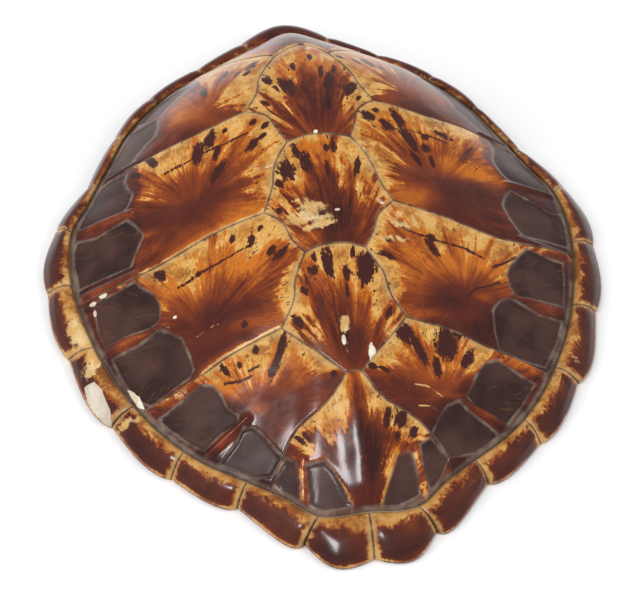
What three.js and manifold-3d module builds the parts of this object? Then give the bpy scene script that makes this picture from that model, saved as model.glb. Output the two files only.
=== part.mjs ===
// A sea turtle's carapace, dried and polished: one domed plate of bone with open windows
// between the rib ends, and the horn scutes that cover it. 5 vertebral scutes lie along the
// middle, 4 costal scutes on each side, and 25 marginal scutes wrap the rim.
// Millimetres, +Z up, +Y towards the head. The origin is under the middle of the shell, on
// the surface that the rim rests on.

import * as THREE from "three";
import { mergeVertices } from "three/addons/utils/BufferGeometryUtils.js";
import Module from "manifold-3d";

const wasm = await Module();
wasm.setup();

// ---- Driving dimensions -------------------------------------------------------------

const DOME_CENTRE_Y = 38; // the dome's highest point, ahead of the middle
const DOME_RISE = 71; // from the groove inside the marginal scutes to the top
const GROOVE_Z = 14;
const RIM_Z = 3.6; // height of the marginal scutes' outermost edge
const FRONT_LIFT = 4; // the rim rises over the neck by this much
const FRONT_LIFT_FROM_Y = 100;
const FRONT_LIFT_TO_Y = 205;
const KEEL = 4.5; // the low ridge on the last vertebral scute
const KEEL_HALF_WIDTH = 11;
const HORN = 1.6; // thickness of a scute
const HORN_TO_BONE = 0.9;
const HORN_TO_BONE_FRONT = 2.2; // over the neck, where the dome is steep
const SEAM_GAP = 0.35; // from a seam line to each scute's wall
const GROOVE_GAP = 0.6; // from the groove line to the scutes on each side of it
const PLATE = 4; // thickness of the bone plates
const RIB_WIDTH = 7;
const WINDOW_OUTER = 0.955; // the windows end at this share of the way to the groove
const UNDER_LIP = 0.3; // a marginal scute's underside ends at this share from groove to rim
const SPINE_WIDTH = 13;
const SPINE_DEPTH = 9;
const SPINE_FRONT_Y = 150;
const SPINE_BACK_Y = -140;

// How fast the dome falls away, as an exponent: flat on top and then steep at high values.
const FALL_FRONT = 3.5;
const FALL_SIDE = 1.46;
const FALL_BACK = 1.52;

// The groove inside the marginal scutes, right half, from tail to head.
const GROOVE = [
  [0, -187], [31, -186.5], [51, -171], [72, -157], [99, -139], [121, -116], [138, -89],
  [151, -62], [160.5, -30], [166, 0], [166.5, 25], [162, 50], [150, 71], [134, 100],
  [118, 128], [97, 151], [60, 176], [27, 193], [0, 205],
];

// Marginal seams of one side, from the tail to the nuchal scute: where each crosses the
// groove, where it ends in a notch of the rim, and how far the scute ahead of it bulges
// past the straight line to the next notch. A low skew puts the bulge near its rear corner.
const MARGINAL_SEAMS = [
  { groove: [0, -187], notch: [0, -214.5], bulge: 12, skew: 0.95 },
  { groove: [31, -186.5], notch: [41.5, -199.5], bulge: 6.5, skew: 0.45 },
  { groove: [72, -157], notch: [79.5, -168.5], bulge: 5, skew: 0.6 },
  { groove: [109, -131], notch: [118, -143], bulge: 5.2, skew: 0.7 },
  { groove: [138, -95], notch: [151, -100], bulge: 6, skew: 0.65 },
  { groove: [158, -46], notch: [173.5, -46], bulge: 4.5, skew: 0.8 },
  { groove: [167, 5], notch: [182.5, 8], bulge: 5, skew: 0.8 },
  { groove: [162, 48], notch: [172.5, 58.5], bulge: 2, skew: 0.8 },
  { groove: [143, 84], notch: [149, 91.5], bulge: 1.5, skew: 1 },
  { groove: [120, 124], notch: [127, 131.5], bulge: 2.5, skew: 1 },
  { groove: [95, 153], notch: [100.5, 162.5], bulge: 2, skew: 1 },
  { groove: [60, 176], notch: [64, 185], bulge: 0.5, skew: 1 },
  { groove: [27, 193], notch: [31, 205], bulge: 14.5, skew: 1 },
];

// Seams between the scutes of the dome. A shell grows unevenly, so each side has its own.
// Each runs from the first scute's corner to the next corner, or out to the groove.
const SEAMS = {
  left: {
    v1c1: [[17, 141], [24, 147.5], [33, 152], [45, 160], [61, 175.5]],
    v2c1: [[17, 141], [30, 119], [35, 101], [44, 86.5]],
    v2c2: [[44, 86.5], [31.5, 79], [26.5, 67], [21, 54]],
    v3c2: [[21, 54], [31, 39], [34.5, 23], [42, 6]],
    v3c3: [[42, 6], [31.5, -4], [27, -17], [20, -27]],
    v4c3: [[20, -27], [28, -43], [31, -57], [40.5, -72]],
    v4c4: [[40.5, -72], [28, -84], [13, -98.5], [4, -107]],
    v5c4: [[4, -107], [19, -123], [41, -137], [59, -165]],
    c1c2: [[44, 86.5], [72, 82], [112, 83], [144, 82.5]],
    c2c3: [[42, 6], [75, 1.5], [112, -7], [165, -12]],
    c3c4: [[40.5, -72], [76, -82], [102, -92], [132.5, -99]],
  },
  right: {
    v1c1: [[19, 140], [25, 147], [34, 152], [46, 160], [61, 175.5]],
    v2c1: [[19, 140], [29.5, 118], [34, 102], [41, 87]],
    v2c2: [[41, 87], [30, 79], [25, 66], [20.5, 54]],
    v3c2: [[20.5, 54], [31, 38], [35, 22], [42, 7]],
    v3c3: [[42, 7], [31, -4], [26, -15], [19, -27]],
    v4c3: [[19, -27], [28, -43], [31, -57], [39, -72]],
    v4c4: [[39, -72], [27, -85], [13, -99], [6, -107]],
    v5c4: [[6, -107], [19, -124], [41, -138], [58, -166]],
    c1c2: [[41, 87], [72, 81.5], [108, 84], [145, 80]],
    c2c3: [[42, 7], [75, 0], [112, -8], [166, -7]],
    c3c4: [[39, -72], [70, -80], [95, -89], [132, -99.5]],
  },
};

// Seams across the middle, from the left corner to the right one.
const CROSS_SEAMS = {
  v1v2: [[-17, 141], [-7, 147.5], [4, 150], [13, 147], [19, 140]],
  v2v3: [[-21, 54], [-8, 58], [6, 57.5], [20.5, 54]],
  v3v4: [[-20, -27], [-8, -24], [5, -24], [19, -27]],
  v4v5: [[-4, -107], [1, -106], [6, -107]],
};

// The zigzag outer edge of the bone plates, from the first window back to the tail, and
// the rib ends that cross the windows, each from the plates out to the rim.
const PLATE_EDGE = [
  [97, 113], [102, 100], [118, 84], [125, 72], [120, 58], [127, 40], [119.5, 21], [128, -4],
  [113, -32], [113, -49], [99, -67], [94, -90], [80, -104], [69, -121], [49, -143],
  [36, -152], [22, -157], [12, -176],
];
const RIBS = [
  [[122, 72], [150, 72]],
  [[124, 40], [165, 44]],
  [[125, -4], [167, -3]],
  [[110, -49], [157, -52]],
  [[91, -88], [135, -102]],
  [[66, -119], [104, -141]],
  [[35, -149], [41, -183]],
];

const ROWS = 6; // facets along each side of a scute of the dome
const MARGINAL_FACETS = 3;
const BONE_SPOKES = 60;

// ---- The shell's shape ---------------------------------------------------------------

const mix = (a, b, t) => a + (b - a) * t;
const smooth = (from, to, v) => THREE.MathUtils.smoothstep((v - from) / (to - from), 0, 1);
const plan = ([x, y]) => new THREE.Vector2(x, y);
const angleOf = (p) => Math.atan2(p.x, -(p.y - DOME_CENTRE_Y)); // 0 at the tail, PI at the head
const radiusOf = (p) => Math.hypot(p.x, p.y - DOME_CENTRE_Y);

// Distance from the dome's centre to the groove at an angle, by a spline through GROOVE.
const grooveTable = GROOVE.map(plan).map((p) => [angleOf(p), radiusOf(p)]);
function grooveRadius(angle) {
  const a = Math.PI - Math.abs(Math.PI - Math.abs(angle));
  let i = grooveTable.findIndex(([at]) => at >= a - 1e-9);
  i = THREE.MathUtils.clamp(i, 1, grooveTable.length - 1);
  const [a0, r0] = grooveTable[i - 1];
  const [a1, r1] = grooveTable[i];
  const before = grooveTable[i - 2] ?? [-grooveTable[1][0], grooveTable[1][1]];
  const last = grooveTable.length - 1;
  const after = grooveTable[i + 1] ?? [2 * Math.PI - grooveTable[last - 1][0], grooveTable[last - 1][1]];
  const slope0 = ((r1 - before[1]) / (a1 - before[0])) * (a1 - a0);
  const slope1 = ((after[1] - r0) / (after[0] - a0)) * (a1 - a0);
  const t = (a - a0) / (a1 - a0);
  return (
    r0 * (1 + 2 * t) * (1 - t) ** 2 + slope0 * t * (1 - t) ** 2 +
    r1 * t * t * (3 - 2 * t) + slope1 * t * t * (t - 1)
  );
}

function pointAt(angle, share) {
  const r = grooveRadius(angle) * share;
  return new THREE.Vector2(r * Math.sin(angle), DOME_CENTRE_Y - r * Math.cos(angle));
}

// Height of the horn's outer face over the dome, from the middle out to the groove.
function domeHeight(p) {
  const share = radiusOf(p) / grooveRadius(angleOf(p));
  const along = radiusOf(p) < 1e-6 ? 0 : Math.abs(p.y - DOME_CENTRE_Y) / radiusOf(p);
  const fall = mix(FALL_SIDE, p.y > DOME_CENTRE_Y ? FALL_FRONT : FALL_BACK, along);
  const keel = KEEL * Math.exp(-((p.x / KEEL_HALF_WIDTH) ** 2)) * smooth(-80, -140, p.y);
  return GROOVE_Z + DOME_RISE * (1 - share ** fall) + keel;
}

const lift = (p) => FRONT_LIFT * smooth(FRONT_LIFT_FROM_Y, FRONT_LIFT_TO_Y, p.y);

// ---- Making solids -------------------------------------------------------------------

// A closed plate between two faces: at(i, j, side) gives a corner of its outer face for
// side 0 and of its inner face for side 1, on a grid of rows by columns.
function plateGeometry(rows, columns, at) {
  const across = columns + 1;
  const half = (rows + 1) * across;
  const position = [];
  for (const side of [0, 1]) {
    for (let i = 0; i <= rows; i++) {
      for (let j = 0; j <= columns; j++) position.push(...at(i, j, side).toArray());
    }
  }
  const index = [];
  const quad = (a, b, c, d) => index.push(a, b, c, a, c, d);
  for (let i = 0; i < rows; i++) {
    for (let j = 0; j < columns; j++) {
      const a = i * across + j;
      quad(a, a + 1, a + across + 1, a + across);
      quad(half + a, half + a + across, half + a + across + 1, half + a + 1);
    }
  }
  for (let j = 0; j < columns; j++) {
    const end = rows * across + j;
    quad(half + j, half + j + 1, j + 1, j);
    quad(end, end + 1, half + end + 1, half + end);
  }
  for (let i = 0; i < rows; i++) {
    const a = i * across;
    const b = a + columns;
    quad(a, a + across, half + a + across, half + a);
    quad(half + b, half + b + across, b + across, b);
  }
  const geometry = new THREE.BufferGeometry();
  geometry.setAttribute("position", new THREE.Float32BufferAttribute(position, 3));
  geometry.setIndex(index);
  return geometry;
}

function toSolid(geometry) {
  const bare = geometry.clone();
  bare.deleteAttribute("normal");
  bare.deleteAttribute("uv");
  const merged = mergeVertices(bare, 1e-3);
  const vertProperties = new Float32Array(merged.attributes.position.array);
  const triVerts = new Uint32Array(merged.index.array);
  return new wasm.Manifold(new wasm.Mesh({ numProp: 3, vertProperties, triVerts }));
}

function toGeometry(solid) {
  const mesh = solid.getMesh();
  const position = [];
  for (let i = 0; i < mesh.numVert; i++) {
    position.push(...mesh.vertProperties.slice(i * mesh.numProp, i * mesh.numProp + 3));
  }
  const geometry = new THREE.BufferGeometry();
  geometry.setAttribute("position", new THREE.Float32BufferAttribute(position, 3));
  geometry.setIndex([...mesh.triVerts]);
  return geometry;
}

const named = (name, geometry, material) => {
  const mesh = new THREE.Mesh(geometry, material);
  mesh.name = name;
  return mesh;
};

const horn = new THREE.MeshStandardMaterial({ color: 0x7a3a18, roughness: 0.3, metalness: 0 });
const rimHorn = new THREE.MeshStandardMaterial({ color: 0x4a2218, roughness: 0.3, metalness: 0 });
const boneMaterial = new THREE.MeshStandardMaterial({ color: 0xd8c8a8, roughness: 0.7, metalness: 0 });

// ---- Scutes of the dome --------------------------------------------------------------

// A line of count facets through points, as a smooth curve.
function line(points, count, side = 1) {
  const curve = new THREE.SplineCurve(points.map(([x, y]) => new THREE.Vector2(x * side, y)));
  return curve.getPoints(count);
}

// The same, with its last point moved onto the groove.
function lineToGroove(points, count, side = 1) {
  const made = line(points, count, side);
  made[count] = pointAt(angleOf(made[count]), 1);
  return made;
}

const joined = (first, second) => [...first, ...second.slice(1)];

// The part of the groove between two plan points, by the shorter way, as count facets.
function grooveLine(from, to, count) {
  const start = angleOf(from);
  const way = angleOf(to) - start;
  const end = start + way - Math.round(way / (2 * Math.PI)) * 2 * Math.PI;
  const points = [];
  for (let i = 0; i <= count; i++) points.push(pointAt(mix(start, end, i / count), 1));
  return points;
}

// A scute inside four lines that meet at its corners. top and bottom run from left to
// right, left and right run from top to bottom. The patch blends the four lines.
function domeScute(top, bottom, left, right, gaps) {
  const rows = left.length - 1;
  const columns = top.length - 1;
  const onLine = (points, t) => {
    const at = THREE.MathUtils.clamp(t, 0, 1) * (points.length - 1);
    const i = Math.min(Math.floor(at), points.length - 2);
    return points[i].clone().lerp(points[i + 1], at - i);
  };
  const blend = (u, v) => {
    const sides = onLine(left, v).multiplyScalar(1 - u).add(onLine(right, v).multiplyScalar(u));
    const ends = onLine(top, u).multiplyScalar(1 - v).add(onLine(bottom, u).multiplyScalar(v));
    const corners = top[0].clone().multiplyScalar((1 - u) * (1 - v));
    corners.add(top[columns].clone().multiplyScalar(u * (1 - v)));
    corners.add(bottom[0].clone().multiplyScalar((1 - u) * v));
    corners.add(bottom[columns].clone().multiplyScalar(u * v));
    return sides.add(ends).sub(corners);
  };
  const wide = left[Math.floor(rows / 2)].distanceTo(right[Math.floor(rows / 2)]);
  const long = top[Math.floor(columns / 2)].distanceTo(bottom[Math.floor(columns / 2)]);
  const share = (k, count, near, far) => (k === 0 ? near : k === count ? 1 - far : k / count);
  return plateGeometry(rows, columns, (i, j, side) => {
    const u = share(j, columns, gaps.left / wide, gaps.right / wide);
    const v = share(i, rows, gaps.top / long, gaps.bottom / long);
    const p = blend(u, v);
    return new THREE.Vector3(p.x, p.y, domeHeight(p) - side * HORN);
  });
}

// The rows run from the front backwards and the columns from left to right, so each face
// of the grid is turned over to point outwards.
const turned = (geometry) => {
  const index = geometry.getIndex();
  for (let i = 0; i < index.count; i += 3) {
    const second = index.getX(i + 1);
    index.setX(i + 1, index.getX(i + 2));
    index.setX(i + 2, second);
  }
  return geometry;
};

const even = { top: SEAM_GAP, bottom: SEAM_GAP, left: SEAM_GAP, right: SEAM_GAP };

function vertebralScutes() {
  const pair = (name, make) => [make(SEAMS.left[name], ROWS, -1), make(SEAMS.right[name], ROWS)];
  const seam = (name) => pair(name, line);
  const cross = (name) => line(CROSS_SEAMS[name], ROWS);
  const [v1Left, v1Right] = pair("v1c1", lineToGroove);
  const [v2FrontLeft, v2FrontRight] = seam("v2c1");
  const [v2BackLeft, v2BackRight] = seam("v2c2");
  const [v3FrontLeft, v3FrontRight] = seam("v3c2");
  const [v3BackLeft, v3BackRight] = seam("v3c3");
  const [v4FrontLeft, v4FrontRight] = seam("v4c3");
  const [v4BackLeft, v4BackRight] = seam("v4c4");
  const [v5Left, v5Right] = pair("v5c4", lineToGroove);
  const front = grooveLine(v1Left.at(-1), v1Right.at(-1), ROWS);
  const back = grooveLine(v5Left.at(-1), v5Right.at(-1), ROWS);
  const scutes = {
    vertebral_1: domeScute(front, cross("v1v2"), v1Left.toReversed(), v1Right.toReversed(),
      { ...even, top: GROOVE_GAP }),
    vertebral_2: domeScute(cross("v1v2"), cross("v2v3"),
      joined(v2FrontLeft, v2BackLeft), joined(v2FrontRight, v2BackRight), even),
    vertebral_3: domeScute(cross("v2v3"), cross("v3v4"),
      joined(v3FrontLeft, v3BackLeft), joined(v3FrontRight, v3BackRight), even),
    vertebral_4: domeScute(cross("v3v4"), cross("v4v5"),
      joined(v4FrontLeft, v4BackLeft), joined(v4FrontRight, v4BackRight), even),
    vertebral_5: domeScute(cross("v4v5"), back, v5Left, v5Right,
      { ...even, bottom: GROOVE_GAP }),
  };
  return Object.entries(scutes).map(([name, g]) => named(name, turned(g), horn));
}

// Built on the right side and mirrored for the left by the sign of x in its lines.
function costalScutes(sideName, sign) {
  const seams = SEAMS[sideName];
  const seam = (name) => line(seams[name], ROWS, sign);
  const outward = (name) => lineToGroove(seams[name], ROWS, sign);
  const gaps = sign > 0 ? { ...even, right: GROOVE_GAP } : { ...even, left: GROOVE_GAP };
  const make = (name, front, back, inner) => {
    const outer = grooveLine(front.at(-1), back.at(-1), inner.length - 1);
    const flip = (points) => (sign > 0 ? points : points.toReversed());
    const [left, right] = sign > 0 ? [inner, outer] : [outer, inner];
    return named(name, turned(domeScute(flip(front), flip(back), left, right, gaps)), horn);
  };
  // The first costal scute's front edge is its seam with the first vertebral, and the
  // fourth's rear edge is its seam with the fifth.
  return [
    make(`costal_1_${sideName}`, outward("v1c1"), outward("c1c2"), seam("v2c1")),
    make(`costal_2_${sideName}`, outward("c1c2"), outward("c2c3"),
      joined(seam("v2c2"), seam("v3c2"))),
    make(`costal_3_${sideName}`, outward("c2c3"), outward("c3c4"),
      joined(seam("v3c3"), seam("v4c3"))),
    make(`costal_4_${sideName}`, outward("c3c4"), outward("v5c4"), seam("v4c4")),
  ];
}

// ---- Marginal scutes -----------------------------------------------------------------

// The rim between two notches, bulging away from the straight line.
function rimPoint(from, to, t, bulge, skew) {
  const out = to.clone().sub(from).normalize();
  const swell = bulge * Math.sin(Math.PI * t ** skew);
  return from.clone().lerp(to, t).add(new THREE.Vector2(out.y, -out.x).multiplyScalar(swell));
}

// A marginal scute's section from the groove over the top, round the edge and back under:
// share of the way from groove to rim, and height. side 0 is the outer face.
function marginalSection(side, up) {
  const t = HORN * side;
  return [
    [0.03, GROOVE_Z - t],
    [0.5, mix(GROOVE_Z, RIM_Z, 0.5) + 3.2 + up * 0.5 - t],
    [0.88, RIM_Z + 2.6 + up - t * 0.8],
    [1 - t * 0.06, RIM_Z + up],
    [0.9, up + t],
    [UNDER_LIP, up + t],
  ];
}

function marginalScute(name, seamA, seamB, bulge, skew) {
  const rows = marginalSection(0, 0).length - 1;
  const grooveA = pointAt(angleOf(seamA.groove), 1);
  const grooveB = pointAt(angleOf(seamB.groove), 1);
  const gap = (SEAM_GAP * 1.2) / seamA.notch.distanceTo(seamB.notch);
  return named(name, plateGeometry(rows, MARGINAL_FACETS, (i, j, side) => {
    const t = mix(gap, 1 - gap, j / MARGINAL_FACETS);
    const rim = rimPoint(seamA.notch, seamB.notch, t, bulge, skew);
    const angle = mix(angleOf(grooveA), angleOf(grooveB), t);
    const inner = pointAt(angle, 1);
    const [share, z] = marginalSection(side, lift(rim))[i];
    const gapShare = GROOVE_GAP / inner.distanceTo(rim);
    const p = inner.lerp(rim, mix(gapShare, 1, share));
    return new THREE.Vector3(p.x, p.y, z);
  }), rimHorn);
}

function marginalScutes() {
  const made = [];
  const count = MARGINAL_SEAMS.length - 1;
  for (const [sideName, sign] of [["left", -1], ["right", 1]]) {
    const seams = MARGINAL_SEAMS.map((s) => ({
      ...s,
      groove: new THREE.Vector2(s.groove[0] * sign, s.groove[1]),
      notch: new THREE.Vector2(s.notch[0] * sign, s.notch[1]),
    }));
    for (let k = 0; k < count; k++) {
      const [a, b] = [seams[k], seams[k + 1]];
      const name = k === 0 ? `supracaudal_${sideName}` : `marginal_${count - k}_${sideName}`;
      const scute = marginalScute(name, a, b, a.bulge * sign, a.skew);
      if (sign > 0) turned(scute.geometry);
      made.push(scute);
    }
  }
  return made;
}

// The nuchal scute is the one across the middle at the head end.
function nuchalScute() {
  const last = MARGINAL_SEAMS.at(-1);
  const corner = (sign) => ({
    groove: new THREE.Vector2(last.groove[0] * sign, last.groove[1]),
    notch: new THREE.Vector2(last.notch[0] * sign, last.notch[1]),
  });
  const right = corner(1);
  const left = corner(-1);
  const facets = 4;
  const rows = marginalSection(0, 0).length - 1;
  const gap = (SEAM_GAP * 1.2) / right.notch.distanceTo(left.notch);
  return named("nuchal", turned(plateGeometry(rows, facets, (i, j, side) => {
    const t = mix(gap, 1 - gap, j / facets);
    const rim = rimPoint(right.notch, left.notch, t, last.bulge, 1);
    const inner = pointAt(mix(angleOf(right.groove), 2 * Math.PI + angleOf(left.groove), t), 1);
    const [share, z] = marginalSection(side, lift(rim))[i];
    const p = inner.lerp(rim, mix(GROOVE_GAP / inner.distanceTo(rim), 1, share));
    return new THREE.Vector3(p.x, p.y, z);
  })), rimHorn);
}

// ---- The bone ------------------------------------------------------------------------

// Where the straight line from the dome's centre at an angle meets the rim.
function rimAt(angle) {
  const a = Math.abs(angle);
  const seams = MARGINAL_SEAMS.map((s) => plan(s.notch));
  seams.push(new THREE.Vector2(-seams.at(-1).x, seams.at(-1).y));
  const reach = (p) => {
    const at = angleOf(p);
    return at < 0 ? at + 2 * Math.PI : at;
  };
  const k = THREE.MathUtils.clamp(seams.findIndex((p) => reach(p) >= a) - 1, 0, seams.length - 2);
  const from = seams[k];
  const to = seams[k + 1];
  const t = (a - reach(from)) / (reach(to) - reach(from));
  const p = from.clone().lerp(to, THREE.MathUtils.clamp(t, 0, 1));
  return new THREE.Vector2(p.x * (Math.sign(angle) || 1), p.y);
}

// The bone's section along one spoke, from the middle of its underside out to the rim and
// back over it to the middle of the top.
function boneSection(angle) {
  const inner = pointAt(angle, 1);
  const rim = rimAt(angle);
  const up = lift(rim);
  const skin = HORN + mix(HORN_TO_BONE, HORN_TO_BONE_FRONT, up / FRONT_LIFT);
  const low = HORN + HORN_TO_BONE + 0.2;
  const over = (share) => {
    const p = pointAt(angle, share);
    return [p, domeHeight(p) - skin];
  };
  const under = (share) => {
    const [p, z] = over(share);
    return [p, z - PLATE];
  };
  const ledge = (share, z) => [inner.clone().lerp(rim, share), z];
  return [
    under(0), under(0.25), under(0.5), under(0.7), under(0.85), under(0.95),
    ledge(-0.12, low + 1 + up * 0.5), ledge(0.2, low + up), ledge(0.74, low + up),
    ledge(0.79, low + 0.9 + up * 0.9), ledge(0.45, low + 4.2 + up * 0.5),
    ledge(0.03, GROOVE_Z - skin - 0.3),
    over(0.95), over(0.85), over(0.7), over(0.5), over(0.25), over(0),
  ];
}

function bonePlate() {
  const stations = boneSection(0).length;
  const profile = [];
  for (let k = 0; k < stations; k++) {
    profile.push(new THREE.Vector2(k === 0 || k === stations - 1 ? 0 : 1, k));
  }
  const lathe = new THREE.LatheGeometry(profile, BONE_SPOKES);
  const position = lathe.getAttribute("position");
  for (let spoke = 0; spoke <= BONE_SPOKES; spoke++) {
    const turn = ((spoke % BONE_SPOKES) / BONE_SPOKES) * 2 * Math.PI;
    const section = boneSection(turn > Math.PI ? turn - 2 * Math.PI : turn);
    section.forEach(([p, z], k) => position.setXYZ(spoke * stations + k, p.x, p.y, z));
  }
  return toSolid(lathe);
}

// A column through the whole height of the shell with a plan outline.
const COLUMN_HEIGHT = 120;
function column(points) {
  const shape = new THREE.Shape(points);
  const geometry = new THREE.ExtrudeGeometry(shape, { depth: COLUMN_HEIGHT, bevelEnabled: false });
  return toSolid(geometry.translate(0, 0, -COLUMN_HEIGHT / 6));
}

// The ring of windows of one side, less the rib ends that cross it.
function windowsOf(sign) {
  const edge = PLATE_EDGE.map(([x, y]) => new THREE.Vector2(x * sign, y));
  const outer = [];
  const steps = 20;
  const start = angleOf(edge.at(-1));
  const end = angleOf(edge[0]);
  for (let i = 0; i <= steps; i++) outer.push(pointAt(mix(start, end, i / steps), WINDOW_OUTER));
  let windows = column([...edge, ...outer]);
  for (const [from, to] of RIBS) {
    const a = new THREE.Vector2(from[0] * sign, from[1]);
    const b = new THREE.Vector2(to[0] * sign, to[1]);
    const wide = b.clone().sub(a).rotateAround(new THREE.Vector2(), Math.PI / 2);
    wide.setLength(RIB_WIDTH / 2);
    windows = windows.subtract(column([
      a.clone().sub(wide), b.clone().sub(wide), b.clone().add(wide), a.clone().add(wide),
    ]));
  }
  return windows;
}

// The backbone: a rounded beam that hangs under the plates along the middle.
function spine() {
  const path = [];
  const steps = 10;
  for (let i = 0; i <= steps; i++) {
    const p = new THREE.Vector2(0, mix(SPINE_BACK_Y, SPINE_FRONT_Y, i / steps));
    const drop = HORN + HORN_TO_BONE + PLATE + SPINE_DEPTH / 2 - 1;
    path.push(new THREE.Vector3(p.x, p.y, domeHeight(p) - drop));
  }
  const section = new THREE.Shape();
  section.absellipse(0, 0, SPINE_WIDTH / 2, SPINE_DEPTH / 2, 0, 2 * Math.PI);
  const beam = new THREE.ExtrudeGeometry(section, {
    steps, curveSegments: 4, bevelEnabled: false, extrudePath: new THREE.CatmullRomCurve3(path),
  });
  return toSolid(beam);
}

function bone() {
  const solid = bonePlate().subtract(windowsOf(1)).subtract(windowsOf(-1)).add(spine());
  return named("bone_carapace", toGeometry(solid), boneMaterial);
}

// ---- The whole shell -----------------------------------------------------------------

const shell = new THREE.Group();
shell.add(
  bone(),
  ...vertebralScutes(),
  ...costalScutes("left", -1),
  ...costalScutes("right", 1),
  ...marginalScutes(),
  nuchalScute(),
);

export default shell;
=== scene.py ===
import math
from types import SimpleNamespace

import bmesh
import bpy
import numpy as np
from mathutils import Matrix, Vector


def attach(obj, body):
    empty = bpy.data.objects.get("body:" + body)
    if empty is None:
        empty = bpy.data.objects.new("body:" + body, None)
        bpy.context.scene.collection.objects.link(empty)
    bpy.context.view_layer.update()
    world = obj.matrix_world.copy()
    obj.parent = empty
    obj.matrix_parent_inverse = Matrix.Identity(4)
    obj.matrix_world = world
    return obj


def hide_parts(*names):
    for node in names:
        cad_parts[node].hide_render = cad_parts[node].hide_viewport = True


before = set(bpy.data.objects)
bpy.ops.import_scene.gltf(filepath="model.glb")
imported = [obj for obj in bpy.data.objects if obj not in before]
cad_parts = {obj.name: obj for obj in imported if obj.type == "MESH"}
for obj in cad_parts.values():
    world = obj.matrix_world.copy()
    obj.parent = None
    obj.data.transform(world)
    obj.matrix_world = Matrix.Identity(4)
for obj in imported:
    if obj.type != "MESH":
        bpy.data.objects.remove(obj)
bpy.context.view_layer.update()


# ---- Table, light and camera --------------------------------------------------------
# A pale table top that runs out of sight and a bright white room with four soft lamps: a
# small one overhead on the left, a wide one behind the head end and one on each side.
# Only the small one shows in the gloss.

scene = bpy.context.scene
scene.view_settings.view_transform = "Standard"

sheet = bmesh.new()
bmesh.ops.create_grid(sheet, x_segments=1, y_segments=1, size=4)
table_mesh = bpy.data.meshes.new("table_top")
sheet.to_mesh(table_mesh)
sheet.free()
table_top = bpy.data.objects.new("table_top", table_mesh)
scene.collection.objects.link(table_top)
table_paint = bpy.data.materials.new("table_white")
table_paint.use_nodes = True
paint = table_paint.node_tree.nodes["Principled BSDF"].inputs
paint["Base Color"].default_value = (0.93, 0.93, 0.93, 1)
paint["Roughness"].default_value = 0.8
table_mesh.materials.append(table_paint)

room = bpy.data.worlds.new("white_room")
room.use_nodes = True
walls = room.node_tree.nodes["Background"].inputs
walls["Color"].default_value = (0.96, 0.98, 1, 1)
walls["Strength"].default_value = 0.42
scene.world = room

SHELL_MIDDLE = (0, 0, 0.05)
NEAR_TAIL = (-0.03, -0.1, 0.03)


def softbox(name, place, aim, width, watts, seen_in_gloss):
    """A square lamp of that width at a place, pointed at aim."""
    light = bpy.data.lights.new(name, "AREA")
    light.size = width
    light.energy = watts
    lamp = bpy.data.objects.new(name, light)
    lamp.location = place
    lamp.visible_glossy = seen_in_gloss
    lamp.rotation_euler = (Vector(aim) - Vector(place)).to_track_quat("-Z", "Y").to_euler()
    scene.collection.objects.link(lamp)


softbox("lamp_overhead_left", (-0.55, -0.72, 1.85), NEAR_TAIL, 0.34, 11, True)
softbox("lamp_behind_head", (0.2, 2.6, 0.9), SHELL_MIDDLE, 1.8, 22, False)
softbox("lamp_right", (2.3, -0.8, 1.5), SHELL_MIDDLE, 2.4, 44, False)
softbox("lamp_left", (-2.3, -0.6, 1.5), SHELL_MIDDLE, 2.4, 50, False)

azimuth, elevation, roll = (math.radians(angle) for angle in (-11.53, 53.91, 4.29))
seen_place = Vector((-0.0157, -0.0567, 0.06))
camera_distance = 1.75
back = Vector((
    math.sin(azimuth) * math.cos(elevation),
    -math.cos(azimuth) * math.cos(elevation),
    math.sin(elevation),
))
level = (-back).cross(Vector((0, 0, 1))).normalized()
upright = level.cross(-back)
camera = bpy.data.objects.new("camera", bpy.data.cameras.new("camera"))
camera.data.sensor_fit = "HORIZONTAL"
camera.data.sensor_width = 36
camera.data.lens = 157.04
columns = [
    level * math.cos(roll) + upright * math.sin(roll),
    upright * math.cos(roll) - level * math.sin(roll),
    back,
    seen_place + back * camera_distance,
]
camera.matrix_world = Matrix([[c[i] for c in columns] for i in range(3)]).to_4x4()
scene.collection.objects.link(camera)
scene.camera = camera


# ---- Horn scutes of the dome --------------------------------------------------------
# Thin plates of keratin, grown ring by ring from a spot near their rear edge, so their
# amber and brown runs out in rays. They lie edge to edge on the bone, and are lacquered.
# Where the bone plates end, the horn has sunk over open windows between the ribs. There it
# is painted dark: painted shade of the hollow under the shell, seen through the horn.

# Sizes are in mm, and MM turns them into metres. HORN is the thickness of a scute.
MM = 0.001
HORN = 1.5

# The dome's outer face: its middle, its height at the groove and above it, how it
# falls to the sides, the head and the tail, and the keel over the two rear scutes.
DOME_CENTRE_Y = 38
GROOVE_HEIGHT, DOME_RISE = 14, 71
SIDE_FALL, HEAD_FALL, TAIL_FALL = 1.46, 3.5, 1.52
KEEL_HEIGHT, KEEL_WIDTH = 4.5, 11

# The groove inside the rim, from the tail to the head, on the right.
GROOVE = [
    (0, -187), (31, -186.5), (51, -171), (72, -157), (99, -139), (121, -116), (138, -89),
    (151, -62), (160.5, -30), (166, 0), (166.5, 25), (162, 50), (150, 71), (134, 100),
    (118, 128), (97, 151), (60, 176), (27, 193), (0, 205),
]

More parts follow.
